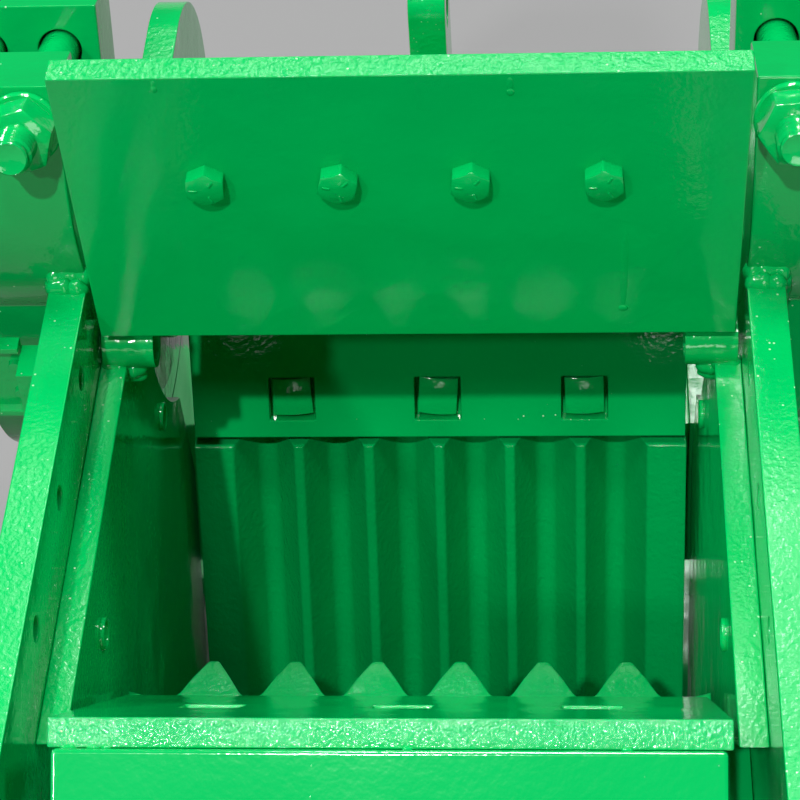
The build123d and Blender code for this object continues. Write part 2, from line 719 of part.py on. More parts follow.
def key_bolts():
    """Square heads in the key bar's pockets."""
    heads = []
    for x in (-BOLT_SPACING, 0, BOLT_SPACING):
        plane = jaw_plane(-DIE_LEAD - SEAT_GAP - KEY_BOLT_UP, POCKET_DEPTH - KEY_PROUD, x)
        heads.append(plane * square_head(SQUARE_HEAD, SQUARE_HEAD_H))
    return heads


def pitman():
    """The swing jaw's casting: bored barrel, face plate, back ribs and the rod's ears."""
    centre = (SHAFT_Y + THROW, SHAFT_Z)
    half = PITMAN_WIDTH / 2
    barrel = round_bar(-half, half, *centre, BARREL_D / 2)
    top = -DIE_LEAD - SEAT_GAP - KEY_LENGTH
    plate = side_face([
        jaw_point(top - STOCK_RISE, DIE_T), jaw_point(top - STOCK_RISE, DIE_T + STOCK_T),
        jaw_point(STOCK_BOTTOM, DIE_T + STOCK_T), jaw_point(STOCK_BOTTOM, DIE_T),
    ])
    shape = barrel + across(plate, -half, half)
    deep = DIE_T + STOCK_T + STOCK_RIB_DEPTH
    rib = side_face([
        jaw_point(top - STOCK_RISE, DIE_T), jaw_point(top, DIE_T + STOCK_T + RIB_SHOULDER), jaw_point(0, deep),
        jaw_point(STOCK_BOTTOM - RIB_HEEL, deep), jaw_point(STOCK_BOTTOM, DIE_T + STOCK_T),
        jaw_point(STOCK_BOTTOM, DIE_T),
    ])
    spread = (PITMAN_WIDTH - STOCK_RIB_T) / (STOCK_RIBS - 1)
    for index in range(STOCK_RIBS):
        x = -half + index * spread
        shape = shape + across(rib, x, x + STOCK_RIB_T)
    seat_back = side_face([
        jaw_point(TOGGLE_DOWN - SEAT_HEIGHT / 2, DIE_T), jaw_point(TOGGLE_DOWN - SEAT_HEIGHT / 2, deep),
        jaw_point(TOGGLE_DOWN + SEAT_HEIGHT / 2, deep), jaw_point(TOGGLE_DOWN + SEAT_HEIGHT / 2, DIE_T),
    ])
    shape = shape + across(seat_back, -half, half)
    ear_top = TOGGLE_DOWN + SEAT_HEIGHT / 2 + SEAT_GAP
    ear = side_face([
        jaw_point(ear_top, DIE_T + STOCK_T), jaw_point(ear_top, deep),
        (ROD_PIN_Y + EAR_LIP, ROD_Z), (ROD_PIN_Y + EAR_LIP, ROD_Z - EAR_LIP),
        (ROD_PIN_Y - EAR_LIP, ROD_Z - EAR_LIP), jaw_point(STOCK_BOTTOM, DIE_T + STOCK_T / 2),
    ])
    pin_hole = round_bar(-FAR, FAR, ROD_PIN_Y, ROD_Z, ROD_PIN_D / 2 + SEAT_GAP)
    for x in (-ROD_D / 2 - EAR_GAP - EAR_T, ROD_D / 2 + EAR_GAP):
        shape = shape + (across(ear, x, x + EAR_T) - pin_hole)
    bore = round_bar(-half, half, *centre, ECCENTRIC_D / 2 + SHAFT_FIT)
    wear_seat = side_face([
        jaw_point(top - SEAT_GAP, DIE_T), jaw_point(top - SEAT_GAP, -FAR),
        jaw_point(FAR, -FAR), jaw_point(FAR, DIE_T),
    ])
    return shape - bore - across(wear_seat, -FAR, FAR)


def seat_block(y, z, angle, width):
    """A toggle seat: a block whose groove takes the toggle's round end."""
    plane = Plane(origin=(0, y, z), x_dir=(1, 0, 0), z_dir=(0, *turned(1, angle)))
    body = extrude(Rectangle(width, SEAT_HEIGHT), amount=SEAT_T)
    shape = plane * Pos(0, 0, -SEAT_OFFSET) * body
    return shape - round_bar(-FAR, FAR, y, z, TOGGLE_END_R + SEAT_GAP)


def toggle_front():
    """Where the toggle's front end bears on the swing jaw."""
    return jaw_point(TOGGLE_DOWN, DIE_T + STOCK_T + STOCK_RIB_DEPTH + SEAT_OFFSET)


def toggle():
    """The toggle plate with a round bead along both ends."""
    y, z = toggle_front()
    angle = math.degrees(math.atan2(TOGGLE_Z - z, TOGGLE_Y - y))
    rise = turned(TOGGLE_T / 2, angle + 90)
    web = side_face([
        (y + rise[0], z + rise[1]), (TOGGLE_Y + rise[0], TOGGLE_Z + rise[1]),
        (TOGGLE_Y - rise[0], TOGGLE_Z - rise[1]), (y - rise[0], z - rise[1]),
    ])
    half = TOGGLE_WIDTH / 2
    shape = across(web, -half, half)
    shape = shape + round_bar(-half, half, y, z, TOGGLE_END_R)
    return shape + round_bar(-half, half, TOGGLE_Y, TOGGLE_Z, TOGGLE_END_R)


def rear_beam():
    """The box beam behind the toggle, with its seat pad and the rod's hanger."""
    front = TOGGLE_Y + SEAT_OFFSET
    back = front + BEAM_DEPTH
    top = BEAM_BOTTOM + BEAM_HEIGHT
    beam = block(-PLATE_IN, PLATE_IN, front, back, BEAM_BOTTOM, top)
    hollow = block(
        -PLATE_IN, PLATE_IN, front + BEAM_WALL, back - BEAM_WALL, BEAM_BOTTOM + BEAM_WALL, top - BEAM_WALL)
    hanger = block(-HANGER_WIDTH / 2, HANGER_WIDTH / 2, front, front + HANGER_T, ROD_Z - HANGER_DROP, BEAM_BOTTOM)
    hole = Pos(0, front, ROD_Z) * Rot(90, 0, 0) * Cylinder(ROD_HOLE_D / 2, 4 * HANGER_T)
    return (beam - hollow) + (hanger - hole)


def along_y(y0, y1, z, radius):
    """A round bar along Y on the middle line."""
    return Pos(0, (y0 + y1) / 2, z) * Rot(90, 0, 0) * Cylinder(radius, y1 - y0)


def tension_rod():
    """The rod from the swing jaw's ears to its spring cup, with the pin and the nuts."""
    hanger_back = TOGGLE_Y + SEAT_OFFSET + HANGER_T
    spring_end = hanger_back + SPRING_LENGTH
    cup_end = spring_end + CUP_ROOM + CUP_T
    rod = along_y(ROD_PIN_Y, ROD_END, ROD_Z, ROD_D / 2)
    eye = round_bar(-ROD_D / 2, ROD_D / 2, ROD_PIN_Y, ROD_Z, ROD_D * 0.75)
    pin_reach = ROD_D / 2 + EAR_GAP + EAR_T
    eye = eye + round_bar(-pin_reach, pin_reach, ROD_PIN_Y, ROD_Z, ROD_PIN_D / 2)
    cup_r = SPRING_D / 2 + SPRING_WIRE / 2 + CUP_GAP
    cup = along_y(cup_end - CUP_LENGTH, cup_end, ROD_Z, cup_r + CUP_T)
    cup = cup - along_y(cup_end - CUP_LENGTH, cup_end - CUP_T, ROD_Z, cup_r)
    nut_plane = Plane(origin=(0, cup_end, ROD_Z), x_dir=(1, 0, 0), z_dir=(0, 1, 0))
    nut = nut_plane * hex_piece(ROD_D * 1.5, ROD_D * 0.8)
    lock_plane = Plane(origin=(0, cup_end + ROD_D * 0.8, ROD_Z), x_dir=(1, 0, 0), z_dir=(0, 1, 0))
    lock = lock_plane * hex_piece(ROD_D * 1.5, ROD_D * 0.5)
    return rod + eye + cup + nut + lock


def tension_spring():
    """The spring between the hanger and the rod's cup."""
    start = TOGGLE_Y + SEAT_OFFSET + HANGER_T + SPRING_WIRE / 2 + SEAT_GAP
    rise = SPRING_LENGTH - SPRING_WIRE
    path = Helix(pitch=rise / SPRING_TURNS, height=rise, radius=SPRING_D / 2)
    section = Plane(origin=path @ 0, z_dir=path % 0) * Circle(SPRING_WIRE / 2)
    coil = sweep(section, path=path)
    return Pos(0, start, ROD_Z) * Rot(-90, 0, 0) * coil


def deflector():
    """The plate above the swing jaw."""
    half = DEFLECTOR_HEIGHT / 2
    body = extrude(Rectangle(DEFLECTOR_WIDTH, DEFLECTOR_HEIGHT), amount=-DEFLECTOR_T)
    return deflector_plane(half, 0) * body


def deflector_bolts():
    """Four hexagon heads in a row."""
    heads = []
    for index in range(4):
        x = (index - 1.5) * DEFLECTOR_BOLT_PITCH
        heads.append(deflector_plane(DEFLECTOR_BOLT_UP, 0, x) * hex_piece(HEX_AF, HEX_H))
    return heads


def deflector_bracket():
    """The pad behind the deflector, and the ribs that carry it from the barrel."""
    height = BRACKET_HIGH - BRACKET_LOW
    pad = extrude(Rectangle(BRACKET_WIDTH, height), amount=-BRACKET_T)
    shape = deflector_plane((BRACKET_LOW + BRACKET_HIGH) / 2, DEFLECTOR_T) * pad
    back_low = deflector_plane(BRACKET_LOW, DEFLECTOR_T + BRACKET_T).origin
    back_high = deflector_plane(BRACKET_HIGH, DEFLECTOR_T + BRACKET_T).origin
    rib = side_face([
        (back_low.Y, back_low.Z), (back_high.Y, back_high.Z),
        (SHAFT_Y + BRACKET_TOE, SHAFT_Z + BARREL_D / 2 + BRACKET_CROWN), (SHAFT_Y, SHAFT_Z),
        (SHAFT_Y - BRACKET_HEEL, SHAFT_Z + BRACKET_HEEL_RISE),
    ])
    for x in (-BRACKET_RIB_X, 0, BRACKET_RIB_X):
        shape = shape + across(rib, x - BRACKET_RIB_T / 2, x + BRACKET_RIB_T / 2)
    return shape - round_bar(-FAR, FAR, SHAFT_Y + THROW, SHAFT_Z, BARREL_D / 2 + SEAT_GAP)


def lifting_lug():
    """The pitman's lifting lug, on edge above the barrel."""
    half = LUG_WIDTH / 2
    outline = side_face([
        (LUG_Y - half, LUG_FOOT), (LUG_Y - half, LUG_TOP), (LUG_Y + half, LUG_TOP), (LUG_Y + half, LUG_FOOT)])
    lug = across(outline, -LUG_T / 2, LUG_T / 2)
    top = lug.edges().filter_by(Axis.X).group_by(Axis.Z)[-1]
    lug = fillet(top, LUG_CORNER_R)
    lug = lug - round_bar(-LUG_T, LUG_T, LUG_Y, LUG_HOLE_Z, LUG_HOLE_D / 2)
    return lug - round_bar(-FAR, FAR, SHAFT_Y + THROW, SHAFT_Z, BARREL_D / 2 + SEAT_GAP)


def guard_bracket():
    """A post outside the left side plate, and the bolted channel that the belt guard hangs on."""
    near = -PLATE_OUT
    post_end = near - GUARD_POST_X
    far = near - GUARD_REACH
    low, high = GUARD_Z - GUARD_HEIGHT / 2, GUARD_Z + GUARD_HEIGHT / 2
    front, back = GUARD_Y - GUARD_POST_T / 2, GUARD_Y + GUARD_POST_T / 2
    rise = GUARD_POST_HEIGHT / 2
    shape = block(post_end, near, front, back, GUARD_Z - rise, GUARD_Z + rise)
    shape = shape + block(far, post_end, back - GUARD_WALL, back, low, high)
    for z in (low, high - GUARD_WALL):
        shape = shape + block(far, post_end, back - GUARD_FLANGE, back, z, z + GUARD_WALL)
    for z in (GUARD_Z - GUARD_BOLT_RISE, GUARD_Z + GUARD_BOLT_RISE):
        place = Pos(post_end - GUARD_BOLT_IN, back - GUARD_WALL, z) * Rot(90, 0, 0)
        head = Cylinder(GUARD_BOLT_D / 2, GUARD_BOLT_H, align=(Align.CENTER, Align.CENTER, Align.MIN))
        shape = shape + place * head
    return shape


def base_foot(side):
    """The foot plate under a side plate, with anchor holes."""
    x0 = PLATE_IN - FOOT_INSET
    x1 = x0 + FOOT_WIDTH
    foot = block(x0, x1, FOOT_FRONT, FOOT_REAR, 0, FOOT_T)
    for y in (FOOT_FRONT + ANCHOR_INSET, FOOT_REAR - ANCHOR_INSET):
        foot = foot - Pos(ANCHOR_X, y, FOOT_T / 2) * Cylinder(ANCHOR_HOLE_D / 2, 2 * FOOT_T)
    return foot if side > 0 else mirror(foot, Plane.YZ)


def base_tie():
    """Cross ties at ground level between the foot plates."""
    inner = PLATE_IN - FOOT_INSET
    front = block(-inner, inner, FOOT_FRONT, FOOT_FRONT + TIE_WIDTH, 0, FOOT_T)
    rear = block(-inner, inner, FOOT_REAR - TIE_WIDTH, FOOT_REAR, 0, FOOT_T)
    return front, rear


os.makedirs("parts", exist_ok=True)

for name, side in SIDES.items():
    write(f"side_plate_{name}", side_plate(side))
    write(f"side_ribs_{name}", side_ribs(side))
    write(f"bearing_saddle_{name}", saddle(side))
    write(f"bearing_housing_{name}", housing(side))
    write(f"bearing_studs_{name}", *studs(side))
    write(f"bearing_covers_{name}", *covers(side))
    write(f"flywheel_{name}", flywheel(side, side < 0))
    write(f"cheek_plate_{name}", cheek(side))
    write(f"cheek_bolts_{name}", *cheek_bolts(side))
    write(f"cheek_pipe_{name}", cheek_pipe(side))
    write(f"base_foot_{name}", base_foot(side))

write("guard_bracket", guard_bracket())
write("base_tie", *base_tie())
write("eccentric_shaft", shaft())
write("fixed_jaw_die", fixed_die())
write("front_wall", front_wall())
write("front_ribs", front_ribs())
write("feed_backing_plate", backing_plate())
write("feed_liner", feed_liner())
write("feed_liner_bolts", *feed_liner_bolts())
write("rear_beam", rear_beam())
write("toggle_seat_rear", seat_block(TOGGLE_Y, TOGGLE_Z, 180, TOGGLE_WIDTH))
write("tension_spring", tension_spring())
write("toggle_plate", toggle())
write("pitman", pitman())
write("swing_jaw_die", swing_die())
write("swing_key_bar", key_bar())
write("swing_key_bolts", *key_bolts())
front_y, front_z = toggle_front()
write("toggle_seat_front", seat_block(front_y, front_z, -JAW_LEAN, TOGGLE_WIDTH))
write("tension_rod", tension_rod())
write("deflector_plate", deflector())
write("deflector_bolts", *deflector_bolts())
write("deflector_bracket", deflector_bracket())
write("lifting_lug", lifting_lug())
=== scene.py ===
import json
import math
import random

import bmesh
import bpy
from mathutils import Matrix, Vector

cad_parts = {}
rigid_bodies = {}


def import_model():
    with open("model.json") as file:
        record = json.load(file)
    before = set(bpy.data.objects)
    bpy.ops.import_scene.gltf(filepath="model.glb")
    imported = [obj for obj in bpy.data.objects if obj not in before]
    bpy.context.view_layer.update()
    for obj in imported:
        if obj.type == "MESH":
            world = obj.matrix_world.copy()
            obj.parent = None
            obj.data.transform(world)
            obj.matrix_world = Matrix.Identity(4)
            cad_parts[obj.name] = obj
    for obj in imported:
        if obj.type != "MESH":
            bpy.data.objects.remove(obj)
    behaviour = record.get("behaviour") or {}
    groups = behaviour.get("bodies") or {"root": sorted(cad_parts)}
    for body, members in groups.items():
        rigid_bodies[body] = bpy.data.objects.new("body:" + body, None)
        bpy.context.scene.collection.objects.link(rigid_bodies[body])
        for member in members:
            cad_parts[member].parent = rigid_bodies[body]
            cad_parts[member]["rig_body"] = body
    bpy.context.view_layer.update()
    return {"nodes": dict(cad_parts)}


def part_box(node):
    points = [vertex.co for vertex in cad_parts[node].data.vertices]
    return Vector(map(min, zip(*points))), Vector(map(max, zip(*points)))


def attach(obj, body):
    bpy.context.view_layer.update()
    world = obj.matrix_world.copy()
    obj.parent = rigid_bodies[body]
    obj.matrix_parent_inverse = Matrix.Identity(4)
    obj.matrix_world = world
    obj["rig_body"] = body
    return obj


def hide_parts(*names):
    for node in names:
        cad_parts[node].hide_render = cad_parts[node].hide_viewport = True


bl_info = {
    "name": "Jaw crusher finish",
    "version": (1, 0, 0),
    "blender": (4, 5, 0),
    "location": "View3D > Sidebar > Crusher",
    "description": "Thick gloss enamel, bolts, threads, weld beads and paint runs on a jaw crusher",
    "category": "Object",
}

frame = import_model()
# Lengths are in metres, as in the frame, unless a comment gives millimetres
MM = 0.001
# Each side's sign along X
SIDES = {"left": -1, "right": 1}


def tilted(degrees):
    """A direction in the side view, as an angle above the way to the rear."""
    return Vector((0, math.cos(math.radians(degrees)), math.sin(math.radians(degrees))))


X_WAY = Vector((1, 0, 0))
Y_WAY = Vector((0, 1, 0))
Z_WAY = Vector((0, 0, 1))
# Out of the feed liner's face, and down its slope
FEED_WAY = tilted(39)
FEED_DOWN = tilted(-51)
# Out of the key bar's face
JAW_WAY = tilted(155.5)
# Along the bearings' studs, to the front
STUD_WAY = tilted(163)
# Out of the deflector's face, and up it
DEFLECTOR_WAY = tilted(183)
DEFLECTOR_UP = tilted(93)


# Shader maths


class Signal:
    """A socket that takes part in sums."""

    def __init__(self, tree, socket):
        self.tree = tree
        self.socket = socket

    def _sum(self, operation, first, second):
        return self.tree.node("ShaderNodeMath", {"operation": operation}, {0: first, 1: second})

    def __add__(self, other):
        return self._sum("ADD", self, other)

    def __rsub__(self, other):
        return self._sum("SUBTRACT", other, self)

    def __mul__(self, other):
        return self._sum("MULTIPLY", self, other)

    def output(self, name):
        """Another output of the same node."""
        return Signal(self.tree, self.socket.node.outputs[name])


class Nodes:
    """A node tree that is filled one node at a time."""

    def __init__(self, owner):
        owner.use_nodes = True
        self.owner = owner
        self.tree = owner.node_tree
        self.tree.nodes.clear()

    def node(self, kind, settings=None, feeds=None, output=0):
        """Add a node: its settings first, then the values or links of its sockets."""
        made = self.tree.nodes.new(kind)
        for key, value in (settings or {}).items():
            setattr(made, key, value)
        for key, value in (feeds or {}).items():
            socket = made.inputs[key]
            if isinstance(value, Signal):
                self.tree.links.new(value.socket, socket)
            else:
                socket.default_value = value
        return Signal(self, made.outputs[output]) if made.outputs else None


class Finish(Nodes):
    """The nodes of one finish."""

    # Where a grain's solid core ends and its rim, as shares of its width
    CORE, RIM = 0.3, 0.5
    # A cell's grain comes in between these levels, less the share
    BARE, WHOLE = 1, 1.02
    # Inputs and output of the mix node when it mixes colours
    FACTOR, UNDER, OVER, MIXED = 0, 6, 7, 2
    ROUNDING_SAMPLES = 6

    def __init__(self, name):
        super().__init__(bpy.data.materials.new(name))
        self.place = self.node("ShaderNodeTexCoord", output="Object")

    def stretched(self, x, y, z, turn=0.0):
        """Object coordinates turned about the height, then drawn out or squeezed along the axes."""
        return self.node("ShaderNodeMapping", {}, {
            "Vector": self.place, "Scale": (x, y, z), "Rotation": (0, 0, turn)})

    def noise(self, size, detail=2.0, rough=0.5, place=None):
        """Soft noise whose cells are about one size across, in metres."""
        return self.node("ShaderNodeTexNoise", {}, {
            "Vector": place or self.place, "Scale": 1 / size, "Detail": detail, "Roughness": rough})

    def step(self, signal, low, high):
        """Nothing below one level, all above another, and a soft rise between them."""
        return self.node("ShaderNodeMapRange", {"interpolation_type": "SMOOTHSTEP"}, {
            "Value": signal, "From Min": low, "From Max": high})

    def nibs(self, cell, grain, share):
        """Small round grains, one in a share of the cells of a loose grid."""
        away = self.node(
            "ShaderNodeTexVoronoi", {}, {"Vector": self.place, "Scale": 1 / cell}, "Distance")
        near = 1 - self.step(away, self.CORE * grain / cell, self.RIM * grain / cell)
        return near * self.step(away.output("Color"), self.BARE - share, self.WHOLE - share)

    def mix(self, share, first, second):
        """One colour over another."""
        feeds = {self.FACTOR: share, self.UNDER: first, self.OVER: second}
        return self.node("ShaderNodeMix", {"data_type": "RGBA"}, feeds, output=self.MIXED)

    def bump(self, height, rounding=0.0):
        """The surface raised by a height in millimetres, over edges rounded off by a radius."""
        feeds = {"Height": height, "Distance": MM, "Strength": 1.0}
        if rounding:
            feeds["Normal"] = self.node(
                "ShaderNodeBevel", {"samples": self.ROUNDING_SAMPLES}, {"Radius": rounding})
        return self.node("ShaderNodeBump", {}, feeds)

    def close(self, **sockets):
        """Join everything to one surface."""
        feeds = {name.replace("_", " "): value for name, value in sockets.items()}
        surface = self.node("ShaderNodeBsdfPrincipled", {}, feeds)
        self.node("ShaderNodeOutputMaterial", {}, {"Surface": surface})
        return self.owner


# Finishes


# A swell between the peel and the waves: its size, and its height as a multiple of the peel's
SWELL_SIZE = 0.012
SWELL = 1.5
# How far a torch's lines are drawn out along the cut, as a scale of the height
LINE_SCALE = 0.12
# Shares of the cells that hold a pale grain, and inside a patch a fine one, at the full amount. The
# pale grains are partly dust and partly painted glints
GRAINS = 0.25
FINE_GRAINS = 0.4
# A fine grain's cell and width, as multiples of a grain's width
FINE_CELL = 2.6
FINE_WIDTH = 0.8
# Noise levels between which a patch of fine grains sets in
PATCH = (0.5, 0.72)
# A grain's height in millimetres, and how far it takes on the pale colour of dust and painted
# glints
GRAIN_HEIGHT = 0.16
GRAIN_DUST_AND_GLINT_COVER = 0.8
# Roughness that light patches have more than deep ones
DULLING = 0.05


def enamel(
        name, peel=0.13, wave=1.6, grit=0.0, grit_size=0.003, drag=0.0, drag_turn=0.0,
        rounding=0.0, dust_and_glint=0.12, painted_shade=1.0):
    """Thick gloss enamel.

    Peel, wave, grit and drag are heights in millimetres, the last two of the metal that prints
    through from below. The shade factor scales both greens down: a darker green painted on as
    shade on the castings, the blocks and the thick plate. Dust sets the share of pale grains,
    which are partly dust and partly painted glints.
    """
    paint = bpy.context.scene.crusher_paint
    f = Finish(name)
    height = f.noise(paint.peel_size, detail=1.0) * peel
    height = height + f.noise(paint.wave_size, detail=1.5) * wave
    height = height + f.noise(SWELL_SIZE, detail=1.0) * (peel * SWELL)
    if grit:
        height = height + f.noise(grit_size, detail=3.0, rough=0.6) * grit
    if drag:
        along = f.stretched(1.0, 1.0, LINE_SCALE, drag_turn)
        height = height + f.noise(paint.drag_pitch, detail=1.0, place=along) * drag
    width = paint.nib_size
    grain = f.nibs(paint.nib_spread, width, GRAINS * dust_and_glint)
    patch = f.step(f.noise(paint.haze_size, detail=3.0, rough=0.6), *PATCH)
    fine = f.nibs(width * FINE_CELL, width * FINE_WIDTH, FINE_GRAINS * dust_and_glint) * patch
    dust_and_glint_specks = grain + fine
    height = height + dust_and_glint_specks * GRAIN_HEIGHT
    tone = f.noise(paint.tone_size, detail=3.0)
    shades = (paint.deep_green, paint.green)
    # Painted shade: both greens are scaled down here where a finish has a shade factor below 1
    thin, thick = ([*(part * painted_shade for part in shade), 1] for shade in shades)
    colour = f.mix(tone, thin, thick)
    # Pale grains over the green, partly dust and partly painted glints
    colour = f.mix(dust_and_glint_specks * GRAIN_DUST_AND_GLINT_COVER, colour, (*paint.dust_and_glint, 1))
    return f.close(
        Base_Color=colour,
        Roughness=tone * DULLING + paint.roughness,
        Normal=f.bump(height, rounding),
    )


def bare_steel(name):
    """Turned steel at the shaft's ends, with fine rings and a trace of oil."""
    oiled, bright = (0.32, 0.31, 0.3, 1), (0.56, 0.56, 0.55, 1)
    ring_pitch, ring_height, stain_size = 0.0012, 0.05, 0.03
    f = Finish(name)
    rings = f.noise(ring_pitch, detail=2.0, place=f.stretched(1.0, 0.05, 0.05))
    stain = f.noise(stain_size, detail=4.0, rough=0.6)
    return f.close(
        Base_Color=f.mix(stain, oiled, bright),
        Metallic=1.0,
        Roughness=stain * 0.25 + 0.22,
        Normal=f.bump(rings * ring_height),
    )


FINISHES = {}


def make_finishes():
    """Every finish by its plain name."""
    soft = bpy.context.scene.crusher_edges.casting
    FINISHES["rolled"] = enamel("enamel_on_rolled_plate")
    FINISHES["cut"] = enamel(
        "enamel_on_cut_edge", peel=0.2, grit=0.38, grit_size=0.004, dust_and_glint=1.0)
    FINISHES["ground"] = enamel("enamel_on_ground_edge", grit=0.85, dust_and_glint=0.6)
    FINISHES["dragged"] = enamel(
        "enamel_on_torch_cut_edge", grit=0.65, drag=0.8, drag_turn=0.5, dust_and_glint=1.0)
    # The next three finishes carry painted shade: their greens are darker, as shade on the thick
    # plate, the castings and the blocks
    FINISHES["smooth"] = enamel(
        "enamel_on_thick_plate", peel=0.07, wave=0.6, drag=0.05, dust_and_glint=0.4, painted_shade=0.9)
    FINISHES["cast"] = enamel(
        "enamel_on_casting", peel=0.2, grit=0.7, grit_size=0.005, rounding=soft, painted_shade=0.72)
    FINISHES["block"] = enamel("enamel_on_machined_block", dust_and_glint=0.5, painted_shade=0.88)
    FINISHES["weld"] = enamel("enamel_on_weld", peel=0.3, wave=0.6, dust_and_glint=0.0)
    FINISHES["bolt"] = enamel("enamel_on_bolt", peel=0.2, wave=0.2, rounding=0.5 * MM)
    FINISHES["steel"] = bare_steel("turned_steel")


# Mesh making


# Degrees up to which an edge is shaded smooth
CREASE = 33.0
WELD_CREASE = 70.0
# Points nearer than this are joined, in a node's copy and in a spun shape
SAME_POINT = 0.004 * MM
SPUN_POINT = 0.01 * MM
# Faces turned by less than this are made one, and edges that turn more than this are sharp
SAME_PLANE = math.radians(0.4)
SHARP = math.radians(28.0)
# A face is a plate's edge when its normal has less than this along the flat direction
EDGE_FACE = 0.8
FACE_WEIGHT = 90


def piece(name, bm, finishes, body, crease=CREASE):
    """Turn a bmesh into a piece that rides on a body, with smooth shading up to an angle."""
    for face in bm.faces:
        face.smooth = True
    for edge in bm.edges:
        edge.smooth = len(edge.link_faces) == 2 and edge.calc_face_angle() < math.radians(crease)
    mesh = bpy.data.meshes.new(name)
    bm.to_mesh(mesh)
    bm.free()
    for finish in finishes:
        mesh.materials.append(FINISHES[finish])
    obj = bpy.data.objects.new(name, mesh)
    bpy.context.scene.collection.objects.link(obj)
    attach(obj, body)
    return obj


def body_of(node):
    """The body a node moves with."""
    return frame["nodes"][node]["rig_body"]


def whole_copy(node):
    """A copy of a node's mesh with its loose triangles joined into whole faces."""
    bm = bmesh.new()
    bm.from_mesh(frame["nodes"][node].data)
    for layer in list(bm.loops.layers.uv):
        bm.loops.layers.uv.remove(layer)
    bmesh.ops.remove_doubles(bm, verts=bm.verts, dist=SAME_POINT)
    bmesh.ops.dissolve_limit(
        bm, angle_limit=SAME_PLANE, use_dissolve_boundaries=False,
        verts=bm.verts, edges=bm.edges)
    return bm


def folded(edge, angle):
    """Whether two faces meet at an edge and turn there by more than an angle."""
    return len(edge.link_faces) == 2 and edge.calc_face_angle() > angle


def round_over(bm, edges, radius, clamp):
    """Round edges over by a radius."""
    bmesh.ops.bevel(
        bm, geom=edges, offset=radius, offset_type="OFFSET", segments=2, profile=0.5,
        affect="EDGES", clamp_overlap=clamp, material=-1)


def enamelled(node, radius, finishes=("rolled",), flat=None):
    """Stand a copy of a node, its edges rounded over as thick paint rounds them, in its place.

    Faces that don't look along the flat direction are a plate's edges, and take the second finish.
    """
    bm = whole_copy(node)
    if radius:
        sharp = [edge for edge in bm.edges if folded(edge, SHARP)]
        round_over(bm, sharp, radius, clamp=False)
    for face in bm.faces:
        on_edge = flat is not None and abs(face.normal.dot(flat)) < EDGE_FACE
        face.material_index = 1 if on_edge else 0
    obj = piece(node + "_enamelled", bm, finishes, body_of(node))
    weighted = obj.modifiers.new("even_shading", "WEIGHTED_NORMAL")
    weighted.weight = FACE_WEIGHT
    weighted.keep_sharp = True
    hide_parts(node)


def loose_parts(node):
    """The points of each of a node's separate solids, from left to right."""
    bm = whole_copy(node)
    left = set(bm.verts)
    parts = []
    while left:
        queue = [left.pop()]
        part = []
        while queue:
            vert = queue.pop()
            part.append(vert.co.copy())
            for edge in vert.link_edges:
                other = edge.other_vert(vert)
                if other in left:
                    left.remove(other)
                    queue.append(other)
        parts.append(part)
    bm.free()
    return sorted(parts, key=lambda part: sum(point.x for point in part) / len(part))


def seat_of(part, along):
    """Where a part's axis meets its seat, and how far it stands out from there."""
    low, high = (Vector(pick(axis) for axis in zip(*part)) for pick in (min, max))
    middle = (low + high) / 2
    reach = [point.dot(along) for point in part]
    return middle + along * (min(reach) - middle.dot(along)), max(reach) - min(reach)


def stand(bm, shape, seat=Vector(), along=None, turn=0.0):
    """Join a shape that was made up from the origin to a piece, on a seat and turned a little."""
    way = along.to_track_quat("Z", "Y").to_matrix().to_4x4() if along else Matrix()
    place = Matrix.Translation(seat) @ way @ Matrix.Rotation(turn, 4, "Z")
    bmesh.ops.transform(shape, matrix=place, verts=shape.verts)
    spare = bpy.data.meshes.new("spare")
    shape.to_mesh(spare)
    shape.free()
    bm.from_mesh(spare)
    bpy.data.meshes.remove(spare)


def turned(profile, steps=32):
    """A profile of (radius, height) points, from axis to axis, spun into a closed shape."""
    bm = bmesh.new()
    verts = [bm.verts.new((radius, 0, height)) for radius, height in profile]
    edges = [bm.edges.new(pair) for pair in zip(verts, verts[1:])]
    bmesh.ops.spin(
        bm, geom=verts + edges, cent=(0, 0, 0), axis=(0, 0, 1), dvec=(0, 0, 0), angle=math.tau,
        steps=steps, use_merge=True, use_duplicate=False)
    bmesh.ops.remove_doubles(bm, verts=bm.verts, dist=SPUN_POINT)
    bmesh.ops.recalc_face_normals(bm, faces=bm.faces)
    return bm


def ring(bm, count, radius, place=None):
    """A ring of vertices round the Z axis, or round another."""
    made = bmesh.ops.create_circle(bm, segments=count, radius=radius, matrix=place or Matrix())
    return made["verts"]


def skinned(bm, rings):
    """Close rings into a solid: a skin from each to the next, and a cap at both ends."""
    for one, two in zip(rings, rings[1:]):
        loops = {
            edge for loop in (set(one), set(two)) for vert in loop for edge in vert.link_edges
            if edge.other_vert(vert) in loop}
        bmesh.ops.bridge_loops(bm, edges=list(loops))
    for end in (rings[0], rings[-1]):
        bmesh.ops.contextual_create(bm, geom=end)
    bmesh.ops.recalc_face_normals(bm, faces=bm.faces)
    return bm


# Points round a head, the crown's radius as a share of the flats, and the corners' rounding
HEAD_POINTS = 48
CROWN = 0.475
CORNER_R = 0.5 * MM
# A tick's length and how far out its middle is, as shares of the flats
TICK_LENGTH = 0.2
TICK_OUT = 0.31
# A tick's width and height in millimetres, and the first one's turn as a share of a whole one
TICK_WIDTH = 1.2
TICK_HEIGHT = 1.5
TICK_TURN = 0.16


